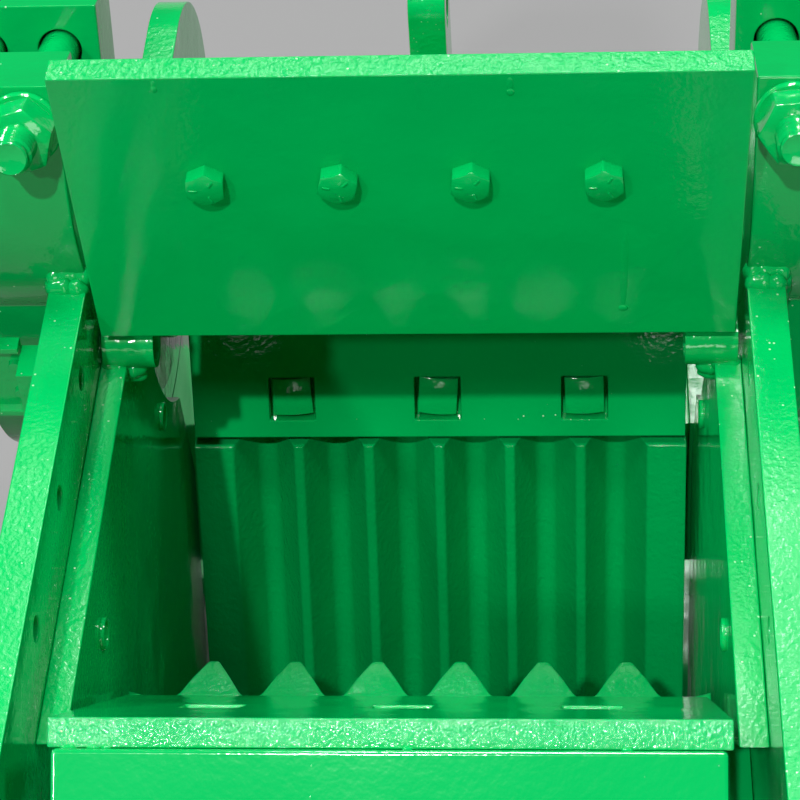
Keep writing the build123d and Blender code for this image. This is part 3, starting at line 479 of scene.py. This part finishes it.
def faceted_head(sides, flats, height, ticks=0, fall=30.0):
    """A bolt head or nut whose corners a cone has cut down, with raised ticks on its top."""
    bm = bmesh.new()
    crown = flats * CROWN
    sector = math.tau / sides
    rings = []
    for level in ("seat", "shoulder", "crown"):
        verts = ring(bm, HEAD_POINTS, crown)
        for vert in verts:
            angle = math.atan2(vert.co.y, vert.co.x)
            reach = flats / 2 / math.cos((angle + sector / 2) % sector - sector / 2)
            drop = (reach - crown) * math.tan(math.radians(fall))
            if level != "crown":
                vert.co *= reach / crown
            vert.co.z = 0 if level == "seat" else height - drop * (level == "shoulder")
        rings.append(verts)
    skinned(bm, rings)
    corners = [
        edge for edge in bm.edges
        if folded(edge, sector * 0.8)
        and abs(edge.verts[0].co.z - edge.verts[1].co.z) > height / 3]
    round_over(bm, corners, CORNER_R, clamp=True)
    for index in range(ticks):
        tick = bmesh.new()
        bmesh.ops.create_cube(tick, size=MM)
        size = (flats / MM * TICK_LENGTH, TICK_WIDTH, TICK_HEIGHT)
        bmesh.ops.scale(tick, vec=size, verts=tick.verts)
        bmesh.ops.translate(tick, vec=(flats * TICK_OUT, 0, height), verts=tick.verts)
        stand(bm, tick, turn=math.tau * (index / ticks + TICK_TURN))
    return bm


def round_head(radius, height):
    """A low round head with a thin rim and a dished middle."""
    rim = 0.45 * height
    return turned([
        (0, 0), (radius, 0), (radius, 0.6 * rim), (0.95 * radius, 0.95 * rim),
        (0.88 * radius, rim), (0.8 * radius, 0.9 * rim), (0.72 * radius, 0.35 * rim),
        (0, 0.3 * rim)])


# A thread's depth as a share of its pitch, and the dish in a stud's far end
THREAD_DEPTH = 0.42
STUD_DISH = 0.4 * MM


def threaded(radius, length, thread, pitch=4.4 * MM):
    """A stud: plain in the middle, with ridges along both ends."""
    crest, root = radius, radius - THREAD_DEPTH * pitch
    profile = [(0, 0), (root - MM, 0), (root, MM)]
    for start in (MM, length - thread):
        for turn in range(int((thread - MM) / pitch)):
            low = start + turn * pitch
            profile += [
                (root, low + 0.1 * pitch), (crest, low + 0.5 * pitch), (root, low + 0.9 * pitch)]
        if start == MM:
            profile += [(crest, thread + MM), (crest, length - thread - MM)]
    dish = length - STUD_DISH
    profile += [(root, length - MM), (root - MM, length), (root - 2 * MM, dish), (0, dish)]
    return turned(profile, steps=28)


def washer(radius, height):
    """A round washer with worn edges."""
    rim = 0.25 * height
    return turned([
        (0, 0), (radius - rim, 0), (radius, rim), (radius, height - rim), (radius - rim, height),
        (0, height)])


def bolts(node, along, shape, turns=(0.0,)):
    """Stand a shape in the place of each of a node's bolts, each with its turn in degrees."""
    bm = bmesh.new()
    for index, part in enumerate(loose_parts(node)):
        seat, height = seat_of(part, along)
        stand(bm, shape(height), seat, along, math.radians(turns[index % len(turns)]))
    obj = piece(node + "_made", bm, ["bolt"], body_of(node))
    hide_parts(node)


BEAD_SIDES = 8
# How far every second ring of a bead stands out, and how far each one strays
RIPPLE_RISE = 0.14
RIPPLE_STRAY = 0.08
# Rings over which a bead swells up from half its radius at each end
SWELL_RINGS = 2


def bead(points, radius, seed, ripple=3.2 * MM):
    """A weld bead along a line of points: a rippled rod that lies half sunk in its corner."""
    rng = random.Random(seed)
    spots = []
    for start, end in zip(points, points[1:]):
        run = Vector(end) - Vector(start)
        count = max(1, round(run.length / ripple))
        spots.extend(Vector(start) + run * (index / count) for index in range(count))
    spots.append(Vector(points[-1]))
    last = len(spots) - 1
    bm = bmesh.new()
    rings = []
    for index, spot in enumerate(spots):
        ahead = spots[min(index + 1, last)] - spots[max(index - 1, 0)]
        swell = 0.5 + 0.5 * min(1.0, min(index, last - index) / SWELL_RINGS)
        stray = rng.uniform(-RIPPLE_STRAY, RIPPLE_STRAY)
        size = radius * swell * (1 + RIPPLE_RISE * (index % 2) + stray)
        way = ahead.to_track_quat("Z", "Y").to_matrix().to_4x4()
        rings.append(ring(bm, BEAD_SIDES, size, Matrix.Translation(spot) @ way))
    return skinned(bm, rings)


def beads(name, lines, radius, body, ripple=3.2 * MM):
    """One piece of several weld beads."""
    bm = bmesh.new()
    for index, line in enumerate(lines):
        stand(bm, bead(line, radius, index + len(name), ripple=ripple))
    return piece(name, bm, ["weld"], body, crease=WELD_CREASE)


# A lump's slow waves: how many lie along it, and their height. Then each point's stray
LUMP_WAVES = 5
LUMP_WAVE = 0.09
LUMP_STRAY = 0.035


def lump(bm, at, size, seed):
    """A lump of weld: a ball drawn out across the machine, uneven under its paint."""
    rng = random.Random(seed)
    ball = bmesh.new()
    bmesh.ops.create_uvsphere(ball, u_segments=20, v_segments=12, radius=1.0)
    for vert in ball.verts:
        wave = LUMP_WAVE * math.sin(LUMP_WAVES * vert.co.z + seed)
        vert.co *= 1 + wave + rng.uniform(-LUMP_STRAY, LUMP_STRAY)
    bmesh.ops.scale(ball, vec=size, verts=ball.verts)
    bmesh.ops.smooth_vert(
        ball, verts=ball.verts, factor=0.4, use_axis_x=True, use_axis_y=True, use_axis_z=True)
    stand(bm, ball, Vector(at), X_WAY)


# Settings


class CrusherPaint(bpy.types.PropertyGroup):
    """The enamel and what lies on it."""

    green: bpy.props.FloatVectorProperty(
        name="Green", description="Enamel where it is thickest", subtype="COLOR",
        default=(0.0, 0.44, 0.095))
    deep_green: bpy.props.FloatVectorProperty(
        name="Deep green", description="Enamel where it is thin", subtype="COLOR",
        default=(0.0, 0.38, 0.078))
    # Colour of the pale grains: partly dust, partly painted glints
    dust_and_glint: bpy.props.FloatVectorProperty(
        name="Dust", description="Pale dust grains on the enamel", subtype="COLOR",
        default=(0.42, 0.75, 0.45))
    roughness: bpy.props.FloatProperty(
        name="Roughness", description="Roughness of the gloss", default=0.07, subtype="FACTOR")
    peel_size: bpy.props.FloatProperty(
        name="Peel size", description="Size of the paint's orange peel", default=0.0036,
        unit="LENGTH")
    wave_size: bpy.props.FloatProperty(
        name="Wave size", description="Length of the slow waves in the paint", default=0.07,
        unit="LENGTH")
    drag_pitch: bpy.props.FloatProperty(
        name="Drag pitch", description="Spacing of the lines on a torch-cut edge", default=0.0042,
        unit="LENGTH")
    # The grains take the pale colour, partly dust and partly painted glints
    nib_size: bpy.props.FloatProperty(
        name="Nib size", description="Width of a dust grain", default=0.0018, unit="LENGTH")
    nib_spread: bpy.props.FloatProperty(
        name="Nib spread", description="Size of the cell that holds one grain", default=0.005,
        unit="LENGTH")
    haze_size: bpy.props.FloatProperty(
        name="Haze size", description="Size of the patches with fine grains", default=0.07,
        unit="LENGTH")
    tone_size: bpy.props.FloatProperty(
        name="Tone size", description="Size of light and deep patches", default=0.12,
        unit="LENGTH")


class CrusherEdges(bpy.types.PropertyGroup):
    """How far edges are rounded over."""

    plate: bpy.props.FloatProperty(
        name="Plate", description="Rounding of a plate's edges", default=1.3 * MM, unit="LENGTH")
    casting: bpy.props.FloatProperty(
        name="Casting", description="Rounding of a casting's edges", default=1.8 * MM,
        unit="LENGTH")
    weld: bpy.props.FloatProperty(
        name="Weld", description="Radius of a weld bead", default=4.5 * MM, unit="LENGTH")


class CrusherLight(bpy.types.PropertyGroup):
    """The stage's light and camera."""

    key: bpy.props.FloatProperty(
        name="Key", description="Strength of the key light", default=1.85)
    side: bpy.props.FloatProperty(
        name="Side", description="Strength of the low side light", default=0.68)
    front: bpy.props.FloatProperty(
        name="Front", description="Strength of the light from the front", default=0.35)
    left: bpy.props.FloatProperty(
        name="Left", description="Strength of the light from the left", default=0.75)
    left_rear: bpy.props.FloatProperty(
        name="Left rear", description="Strength of the light over the left flywheel", default=1.0)
    right_rear: bpy.props.FloatProperty(
        name="Right rear", description="Strength of the light over the right flywheel",
        default=1.15)
    rear: bpy.props.FloatProperty(
        name="Rear", description="Strength of the gloss light behind", default=0.5)
    spark: bpy.props.FloatProperty(
        name="Spark", description="Strength of the small light for glints", default=0.22)
    above: bpy.props.FloatProperty(
        name="Above", description="Strength of the light overhead", default=1.6)
    sky: bpy.props.FloatProperty(
        name="Sky", description="Strength of the light from all round", default=0.03)
    lens: bpy.props.FloatProperty(
        name="Lens", description="Focal length in millimetres", default=109.68)


# Pieces


# Degrees by which the corners of a square head fall away
SQUARE_FALL = 24
# The finishes of a plate's flat faces and of its cut edges
PLATE = ("rolled", "cut")


class CRUSHER_OT_side_plates(bpy.types.Operator):
    """Side plates with their ribs and feet."""

    bl_idname = "crusher.side_plates"
    bl_label = "Side plates"

    def execute(self, context):
        edges = context.scene.crusher_edges
        for side in SIDES:
            enamelled(f"side_plate_{side}", edges.plate, PLATE, flat=X_WAY)
            enamelled(f"side_ribs_{side}", edges.plate)
            enamelled(f"base_foot_{side}", edges.plate, PLATE, flat=Z_WAY)
        enamelled("base_tie", edges.plate, PLATE, flat=Z_WAY)
        return {"FINISHED"}


class CRUSHER_OT_bearings(bpy.types.Operator):
    """Bearing blocks on their saddles, with covers and studs."""

    bl_idname = "crusher.bearings"
    bl_label = "Bearings"

    STUD_R = 13.5 * MM
    NUT = 41 * MM
    NUT_H = 22 * MM
    WASHER_R = 25 * MM
    WASHER_T = 5 * MM
    PROUD = 24 * MM
    # Degrees that the first stud's nuts are turned, and how much more the next one's
    NUT_TURN, NUT_STEP = 35, 11
    # The blocks' edges are rounded over more than a plate's
    ROUNDER = 1.4

    def execute(self, context):
        radius = context.scene.crusher_edges.plate * self.ROUNDER
        for side in SIDES:
            enamelled(f"bearing_saddle_{side}", radius, ("block",))
            enamelled(f"bearing_housing_{side}", radius, ("block",))
            enamelled(f"bearing_covers_{side}", 0.0, ("cast",))
            self.studs(f"bearing_studs_{side}")
        return {"FINISHED"}

    def studs(self, node):
        """Threaded studs with a washer and a nut at both ends."""
        bm = bmesh.new()
        thread = self.PROUD + 0.5 * self.NUT_H
        for index, part in enumerate(loose_parts(node)):
            foot, length = seat_of(part, STUD_WAY)
            stand(bm, threaded(self.STUD_R, length, thread), foot, STUD_WAY)
            top = foot + STUD_WAY * length
            turn = math.radians(self.NUT_TURN + self.NUT_STEP * index)
            for end, way in ((foot, STUD_WAY), (top, -STUD_WAY)):
                face = end + way * (self.PROUD + self.NUT_H + self.WASHER_T)
                stand(bm, washer(self.WASHER_R, self.WASHER_T), face, -way)
                nut = faceted_head(6, self.NUT, self.NUT_H)
                stand(bm, nut, face - way * self.WASHER_T, -way, turn)
        obj = piece(node + "_made", bm, ["bolt"], body_of(node))
        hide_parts(node)


class CRUSHER_OT_shaft_and_wheels(bpy.types.Operator):
    """The shaft and its two flywheels."""

    bl_idname = "crusher.shaft_and_wheels"
    bl_label = "Shaft and wheels"

    def execute(self, context):
        edges = context.scene.crusher_edges
        enamelled("eccentric_shaft", edges.plate, ("steel",))
        for side in SIDES:
            enamelled(f"flywheel_{side}", edges.casting, ("cast",))
        return {"FINISHED"}


class CRUSHER_OT_jaws(bpy.types.Operator):
    """Both jaw dies and the key bar with its bolts."""

    bl_idname = "crusher.jaws"
    bl_label = "Jaws"

    KEY_HEAD = 31 * MM
    KEY_TURNS = (3, -4, 2)

    def execute(self, context):
        edges = context.scene.crusher_edges
        enamelled("fixed_jaw_die", 0.0, ("cast",))
        enamelled("swing_jaw_die", 0.0, ("cast",))
        enamelled("swing_key_bar", edges.plate, ("block",))
        bolts("swing_key_bolts", JAW_WAY, self.head, self.KEY_TURNS)
        return {"FINISHED"}

    def head(self, height):
        """A square head in its pocket."""
        return faceted_head(4, self.KEY_HEAD, height, fall=SQUARE_FALL)


class CRUSHER_OT_feed(bpy.types.Operator):
    """The feed plates, the wall behind the fixed jaw and the ribs that stiffen it."""

    bl_idname = "crusher.feed"
    bl_label = "Feed"

    LINER_HEAD = 31 * MM
    LINER_TURNS = (-2, 3, 5)
    # The thick plate's edges are rounded over more than a thin one's
    ROUNDER = 2.2

    def execute(self, context):
        edges = context.scene.crusher_edges
        enamelled("feed_liner", edges.plate, ("rolled", "ground"), flat=FEED_WAY)
        bolts("feed_liner_bolts", FEED_WAY, self.head, self.LINER_TURNS)
        radius = edges.plate * self.ROUNDER
        enamelled("feed_backing_plate", radius, ("rolled", "smooth"), flat=FEED_WAY)
        enamelled("front_wall", edges.plate)
        enamelled("front_ribs", edges.plate)
        return {"FINISHED"}

    def head(self, height):
        """A square head that lies level with the liner."""
        return faceted_head(4, self.LINER_HEAD, height, fall=SQUARE_FALL)


class CRUSHER_OT_cheeks(bpy.types.Operator):
    """Cheek plates with their bolts and the pipes that lift them."""

    bl_idname = "crusher.cheeks"
    bl_label = "Cheeks"

    HEAD_R = 11 * MM

    def execute(self, context):
        edges = context.scene.crusher_edges
        for side, sign in SIDES.items():
            enamelled(f"cheek_plate_{side}", edges.plate, PLATE, flat=X_WAY)
            bolts(f"cheek_bolts_{side}", X_WAY * -sign, self.head)
            enamelled(f"cheek_pipe_{side}", 0.0, ("bolt",))
        return {"FINISHED"}

    def head(self, height):
        """A round head on the cheek's inner face."""
        return round_head(self.HEAD_R, height)


class CRUSHER_OT_swing_jaw(bpy.types.Operator):
    """The swing jaw's casting, its lifting lug, the deflector and the rod."""

    bl_idname = "crusher.swing_jaw"
    bl_label = "Swing jaw"

    HEX = 24 * MM
    HEX_TURNS = (-2, -14, -5, 4)
    # Millimetres: distance across, top and bottom above the plate's lower edge, and half width
    RUNS = ((140.8, 100.7, 25.6, 2.6), (69.0, 235.0, 222.9, 2.0), (-150.0, 236.0, 229.0, 1.6))
    # Millimetres that a run stands proud, then a drop's half height and how far it stands proud
    RUN_PROUD, DROP_REACH, DROP_PROUD = 0.35, 3.0, 0.9
    # A drop's half width, as a multiple of its run's
    DROP_WIDER = 1.25

    def execute(self, context):
        edges = context.scene.crusher_edges
        enamelled("pitman", 0.0, ("cast",))
        enamelled("lifting_lug", edges.plate, PLATE, flat=X_WAY)
        enamelled("deflector_plate", edges.plate, ("rolled", "dragged"), flat=Y_WAY)
        bolts("deflector_bolts", DEFLECTOR_WAY, self.head, self.HEX_TURNS)
        self.paint_runs()
        enamelled("deflector_bracket", edges.plate)
        enamelled("tension_rod", 0.0, ("bolt",))
        enamelled("toggle_seat_front", edges.plate, ("cast",))
        return {"FINISHED"}

    def head(self, height):
        """A hexagon head with three ticks."""
        return faceted_head(6, self.HEX, height, ticks=3)

    def paint_runs(self):
        """Runs of paint down the deflector's face, each with a drop at its foot."""
        face = [point for part in loose_parts("deflector_plate") for point in part]
        front = max(point.dot(DEFLECTOR_WAY) for point in face)
        base = min(point.dot(DEFLECTOR_UP) for point in face)
        bm = bmesh.new()
        for x, top, bottom, width in self.RUNS:
            run = ((top + bottom) / 2, (width, (top - bottom) / 2, self.RUN_PROUD))
            drop = (bottom, (width * self.DROP_WIDER, self.DROP_REACH, self.DROP_PROUD))
            for middle, size in (run, drop):
                ball = bmesh.new()
                bmesh.ops.create_uvsphere(ball, u_segments=16, v_segments=12, radius=MM)
                bmesh.ops.scale(ball, vec=size, verts=ball.verts)
                up = DEFLECTOR_UP * (base + middle * MM)
                stand(bm, ball, DEFLECTOR_WAY * front + up + X_WAY * (x * MM), DEFLECTOR_WAY)
        piece("paint_runs", bm, ["weld"], "swing_jaw")


class CRUSHER_OT_rear(bpy.types.Operator):
    """The toggle, its rear seat and beam, the spring and the guard bracket."""

    bl_idname = "crusher.rear"
    bl_label = "Rear"

    # The bracket is of thin plate, so its edges are rounded over less
    THINNER = 0.5

    def execute(self, context):
        edges = context.scene.crusher_edges
        enamelled("rear_beam", edges.plate)
        enamelled("toggle_seat_rear", edges.plate, ("cast",))
        enamelled("toggle_plate", edges.plate, ("cast",))
        enamelled("guard_bracket", edges.plate * self.THINNER, ("cut",))
        enamelled("tension_spring", 0.0, ("bolt",))
        return {"FINISHED"}


class CRUSHER_OT_welds(bpy.types.Operator):
    """Weld beads and lumps wherever plates are joined."""

    bl_idname = "crusher.welds"
    bl_label = "Welds"

    # What follows is in millimetres, in the frame of the CAD, unless a comment says otherwise
    # A side plate's ribs: the middle along Y and the top of each, half its thickness, its reach
    RIBS = ((-437.5, 760), (-237.5, 860), (167.5, 679), (422.5, 800))
    RIB_HALF = 10
    RIB_REACH = 58
    # Lower and upper face of the level rib
    LEVEL = (430, 450)
    # How far the beads stop short of a plate's corners, of the level rib's ends and of a rib's edge
    SHORT, LEVEL_SHORT, RIB_SHORT = 6, 24, 4
    # Circles in the side view: the middle along Y and Z, and the radius
    SADDLE = (105.6, 1054.1, 172.0)
    BARREL = (175.5, 870.0, 95.0)
    # The bead round a saddle's foot: its start and step in degrees, its number of points, and how
    # many times as thick as the other beads it is
    SADDLE_START, SADDLE_STEP, SADDLE_POINTS = 198, 8, 9
    SADDLE_BEAD = 1.25
    # Lumps of weld: their middle along X, Y and Z, and half their size along Y, Z and X
    SADDLE_LUMPS = (
        (-7.5, 0, 4, (7, 9, 9)), (0.5, 1, 5, (7.5, 9.5, 10)), (8, 0, 4, (6, 9, 9)),
        (-4, -7, 0, (6, 9, 10)), (6, -7.5, 0, (5.5, 8, 9)))
    NECK_LUMPS = (
        (6, -9, 925, (8, 8, 9)), (-4, -7, 919, (8, 7, 8)), (12, -13, 927, (4.5, 6, 7)),
        (-2, -6, 910, (5, 5, 9)))
    # A cheek's inner face, from the middle
    CHEEK_FACE = 204.5
    # The front wall's outer face, its ribs' middles and half the thickness between their beads
    FRONT_WALL = -349.5
    FRONT_RIBS = (-130, 0, 130)
    FRONT_HALF = 11
    # The upright beads' ends, the heights of the level ones and half their length
    FRONT_FOOT, FRONT_TOP = 172, 790
    FRONT_LEVELS = (172, 400, 422, 640, 662)
    FRONT_REACH = 221
    # Inner faces of the side plates, where the ribs and the beam meet them
    INSIDE = (-223, 223)
    # The rear beam's wall behind its front edge, and the heights between which it is joined
    BEAM_WALL, BEAM_FOOT, BEAM_TOP = 34, 185, 385
    # The lug's ends along Y and half its thickness, then its beads' radius and number of steps
    LUG = (205.5, 267.5, 14.0)
    LUG_BEAD = 5
    LUG_STEPS = 7
    # Tacks: distance from the liner's left end and half their length
    TACKS = ((13, 5), (27, 4), (34, 3), (206, 3), (330, 3.5))
    # Half a tack's depth and height, and how far down from the liner's edge it is
    TACK_DEPTH, TACK_HEIGHT, TACK_DOWN = 2.6, 2.4, 1.0
    # Length of a ripple in the long beads, in metres
    COARSE = 5 * MM

    def execute(self, context):
        radius = context.scene.crusher_edges.weld
        for side, sign in SIDES.items():
            self.side(side, sign, radius)
            self.saddle(side, sign, radius)
            self.neck(side, sign)
        self.front(radius)
        self.rear(radius)
        self.lug()
        self.tacks()
        return {"FINISHED"}

    def line(self, start, end):
        """A straight line, from millimetres."""
        return [Vector(start) * MM, Vector(end) * MM]

    def plate(self, side, sign):
        """A side plate's corners and its outer and inner face, in millimetres."""
        low, high = (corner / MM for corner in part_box(f"side_plate_{side}"))
        outer, inner = (high.x, low.x) if sign > 0 else (low.x, high.x)
        return low, high, outer, inner

    def side(self, side, sign, radius):
        """Beads beside the ribs and along the plate's foot."""
        low, high, outer, inner = self.plate(side, sign)
        ends = (low.y + self.SHORT, high.y - self.SHORT)
        lines = [self.line(*((x, y, low.z) for y in ends)) for x in (outer, inner)]
        reach = outer + sign * (self.RIB_REACH - self.RIB_SHORT)
        for y, top in self.RIBS:
            for edge in (y - self.RIB_HALF, y + self.RIB_HALF):
                lines.append(self.line((outer, edge, low.z), (outer, edge, top)))
                lines.append(self.line((outer, edge, low.z), (reach, edge, low.z)))
        ends = (low.y + self.LEVEL_SHORT, high.y - self.LEVEL_SHORT)
        for z in self.LEVEL:
            lines.append(self.line(*((outer, y, z) for y in ends)))
        beads(f"side_plate_welds_{side}", lines, radius, "frame", ripple=self.COARSE)

    def saddle(self, side, sign, radius):
        """The thick weld across the plate's top at the saddle, and the bead round its foot."""
        _, high, outer, inner = self.plate(side, sign)
        middle = (outer + inner) / 2
        y, z, reach = self.SADDLE
        top = y - math.sqrt(reach ** 2 - (z - high.z) ** 2)
        bm = bmesh.new()
        for index, (x, back, up, size) in enumerate(self.SADDLE_LUMPS):
            at = Vector((middle + x, top + back, high.z + up)) * MM
            lump(bm, at, [part * MM for part in size], seed=index + 3 * sign)
        path = []
        for step in range(self.SADDLE_POINTS):
            angle = math.radians(self.SADDLE_START + self.SADDLE_STEP * step)
            spot = (outer, y + reach * math.cos(angle), z + reach * math.sin(angle))
            path.append(Vector(spot) * MM)
        stand(bm, bead(path, radius * self.SADDLE_BEAD, 5 + sign))
        piece(f"saddle_welds_{side}", bm, ["weld"], "frame", crease=WELD_CREASE)

    def neck(self, side, sign):
        """The weld that carries the lifting pipe on the cheek's top corner."""
        low, high = (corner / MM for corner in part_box(f"cheek_pipe_{side}"))
        inner = self.CHEEK_FACE * sign
        y = (low.y + high.y) / 2
        bm = bmesh.new()
        for index, (x, back, z, size) in enumerate(self.NECK_LUMPS):
            at = Vector((inner + sign * x, y + back, z)) * MM
            lump(bm, at, [part * MM for part in size], seed=index + 5 * sign)
        piece(f"cheek_pipe_weld_{side}", bm, ["weld"], "frame", crease=WELD_CREASE)

    def front(self, radius):
        """Beads that join the ribs to the front wall and to the side plates."""
        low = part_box("front_ribs")[0] / MM
        wall = self.FRONT_WALL
        lines = []
        for x in self.FRONT_RIBS:
            for edge in (x - self.FRONT_HALF, x + self.FRONT_HALF):
                lines.append(self.line((edge, wall, self.FRONT_FOOT), (edge, wall, self.FRONT_TOP)))
        for z in self.FRONT_LEVELS:
            lines.append(self.line((-self.FRONT_REACH, wall, z), (self.FRONT_REACH, wall, z)))
            for x in self.INSIDE:
                lines.append(self.line((x, low.y + self.RIB_SHORT, z), (x, wall, z)))
        beads("front_welds", lines, radius, "frame", ripple=self.COARSE)

    def rear(self, radius):
        """Beads that join the rear beam to the side plates."""
        low, high = (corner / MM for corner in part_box("rear_beam"))
        lines = []
        for x in self.INSIDE:
            for y in (low.y + self.BEAM_WALL, high.y):
                lines.append(self.line((x, y, self.BEAM_FOOT), (x, y, self.BEAM_TOP)))
        beads("rear_beam_welds", lines, radius, "frame")

    def lug(self):
        """The beads round the lifting lug's foot on the barrel."""
        start, end, half = self.LUG
        y, z, reach = self.BARREL
        lines = []
        for x in (-half, half):
            line = []
            for step in range(self.LUG_STEPS + 1):
                at = start + (end - start) * step / self.LUG_STEPS
                line.append(Vector((x, at, z + math.sqrt(reach ** 2 - (at - y) ** 2))) * MM)
            lines.append(line)
        beads("lifting_lug_welds", lines, self.LUG_BEAD * MM, "swing_jaw")

    def tacks(self):
        """Short tacks between the liner and the backing plate, along their upper edge."""
        liner = [point for part in loose_parts("feed_liner") for point in part]
        top = min(point.dot(FEED_DOWN) for point in liner)
        under = min(point.dot(FEED_WAY) for point in liner)
        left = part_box("feed_liner")[0].x
        bm = bmesh.new()
        for index, (x, wide) in enumerate(self.TACKS):
            edge = FEED_DOWN * (top + self.TACK_DOWN * MM) + FEED_WAY * under
            at = edge + X_WAY * (left + x * MM)
            lump(bm, at, (self.TACK_DEPTH * MM, self.TACK_HEIGHT * MM, wide * MM), seed=index)
        piece("liner_tacks", bm, ["weld"], "frame", crease=WELD_CREASE)


class CRUSHER_OT_stage(bpy.types.Operator):
    """A pale floor, the light, and the camera above the feed end."""

    bl_idname = "crusher.stage"
    bl_label = "Stage"

    # The way each lamp shines, and its width in degrees
    LAMPS = {
        "key": ((0.09, 0.567, -0.819), 1.2),
        "side": ((0.365, 0.64, -0.668), 2.5),
        "front": ((-0.1, 0.97, -0.21), 16.0),
        "left": ((0.64, 0.1, -0.76), 8.0),
        "left_rear": ((0.6, -0.3, -0.74), 10.0),
        "right_rear": ((-0.6, -0.3, -0.74), 10.0),
        "rear": ((0.0, -0.64, -0.77), 28.0),
        "spark": ((0.03, -0.66, -0.75), 5.0),
        "above": ((0.0, 0.05, -1.0), 12.0),
    }
    # The camera's place, its turn in degrees, its sensor in millimetres and how far it sees
    EYE = Vector((0.0999, -1.2408, 2.147))
    TURN = (43.086, 2.986, 2.394)
    SENSOR = 36.0
    FAR = 100.0
    FLOOR_SIZE = 30.0
    FLOOR_SHADE = 0.2
    FLOOR_ROUGHNESS = 0.9
    # Level of the backdrop where the camera sees it, and in a reflection
    BACKDROP = 0.82
    MIRRORED = 0.06

    def execute(self, context):
        scene = context.scene
        light = scene.crusher_light
        bm = bmesh.new()
        bmesh.ops.create_grid(bm, x_segments=1, y_segments=1, size=self.FLOOR_SIZE / 2)
        mesh = bpy.data.meshes.new("floor")
        bm.to_mesh(mesh)
        bm.free()
        floor = bpy.data.objects.new("floor", mesh)
        scene.collection.objects.link(floor)
        shade = (*[self.FLOOR_SHADE] * 3, 1)
        mesh.materials.append(
            Finish("pale_floor").close(Base_Color=shade, Roughness=self.FLOOR_ROUGHNESS))
        for name, (way, width) in self.LAMPS.items():
            lamp = bpy.data.lights.new(name, "SUN")
            lamp.energy = getattr(light, name)
            lamp.angle = math.radians(width)
            holder = bpy.data.objects.new(name, lamp)
            holder.rotation_mode = "QUATERNION"
            holder.rotation_quaternion = Vector(way).to_track_quat("-Z", "Y")
            scene.collection.objects.link(holder)
        self.sky(scene, light.sky)
        view = bpy.data.cameras.new("camera")
        view.lens = light.lens
        view.sensor_width = self.SENSOR
        view.clip_end = self.FAR
        camera = bpy.data.objects.new("camera", view)
        camera.location = self.EYE
        camera.rotation_euler = [math.radians(angle) for angle in self.TURN]
        scene.collection.objects.link(camera)
        scene.camera = camera
        scene.view_settings.view_transform = "Standard"
        return {"FINISHED"}

    def sky(self, scene, strength):
        """Soft light from all round, and a pale backdrop where a view or reflection meets it."""
        world = bpy.data.worlds.new("studio")
        sky = Nodes(world)
        path = sky.node("ShaderNodeLightPath", output="Is Camera Ray")
        mirrored = path.output("Is Glossy Ray") + path.output("Is Transmission Ray")
        level = path * (self.BACKDROP - strength) + mirrored * (self.MIRRORED - strength) + strength
        back = sky.node("ShaderNodeBackground", {}, {"Strength": level})
        sky.node("ShaderNodeOutputWorld", {}, {"Surface": back})
        scene.world = world


class CRUSHER_PT_panel(bpy.types.Panel):
    """Every step and setting of the crusher's finish."""

    bl_idname = "CRUSHER_PT_panel"
    bl_label = "Jaw crusher"
    bl_space_type = "VIEW_3D"
    bl_region_type = "UI"
    bl_category = "Crusher"

    def draw(self, context):
        for step in STEPS:
            self.layout.operator(step.bl_idname)
        for name in SETTINGS:
            group = getattr(context.scene, name)
            box = self.layout.box()
            for key in group.__annotations__:
                box.prop(group, key)


SETTINGS = {
    "crusher_paint": CrusherPaint,
    "crusher_edges": CrusherEdges,
    "crusher_light": CrusherLight,
}
STEPS = [
    CRUSHER_OT_stage,
    CRUSHER_OT_side_plates,
    CRUSHER_OT_bearings,
    CRUSHER_OT_shaft_and_wheels,
    CRUSHER_OT_jaws,
    CRUSHER_OT_feed,
    CRUSHER_OT_cheeks,
    CRUSHER_OT_swing_jaw,
    CRUSHER_OT_rear,
    CRUSHER_OT_welds,
]


def register():
    for group in SETTINGS.values():
        bpy.utils.register_class(group)
    for name, group in SETTINGS.items():
        setattr(bpy.types.Scene, name, bpy.props.PointerProperty(type=group))
    for step in (*STEPS, CRUSHER_PT_panel):
        bpy.utils.register_class(step)


def unregister():
    for step in (CRUSHER_PT_panel, *reversed(STEPS)):
        bpy.utils.unregister_class(step)
    for name, group in SETTINGS.items():
        delattr(bpy.types.Scene, name)
        bpy.utils.unregister_class(group)


def main():
    """Register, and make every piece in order."""
    register()
    make_finishes()
    for step in STEPS:
        family, name = step.bl_idname.split(".")
        getattr(getattr(bpy.ops, family), name)()


if __name__ == "__main__":
    main()
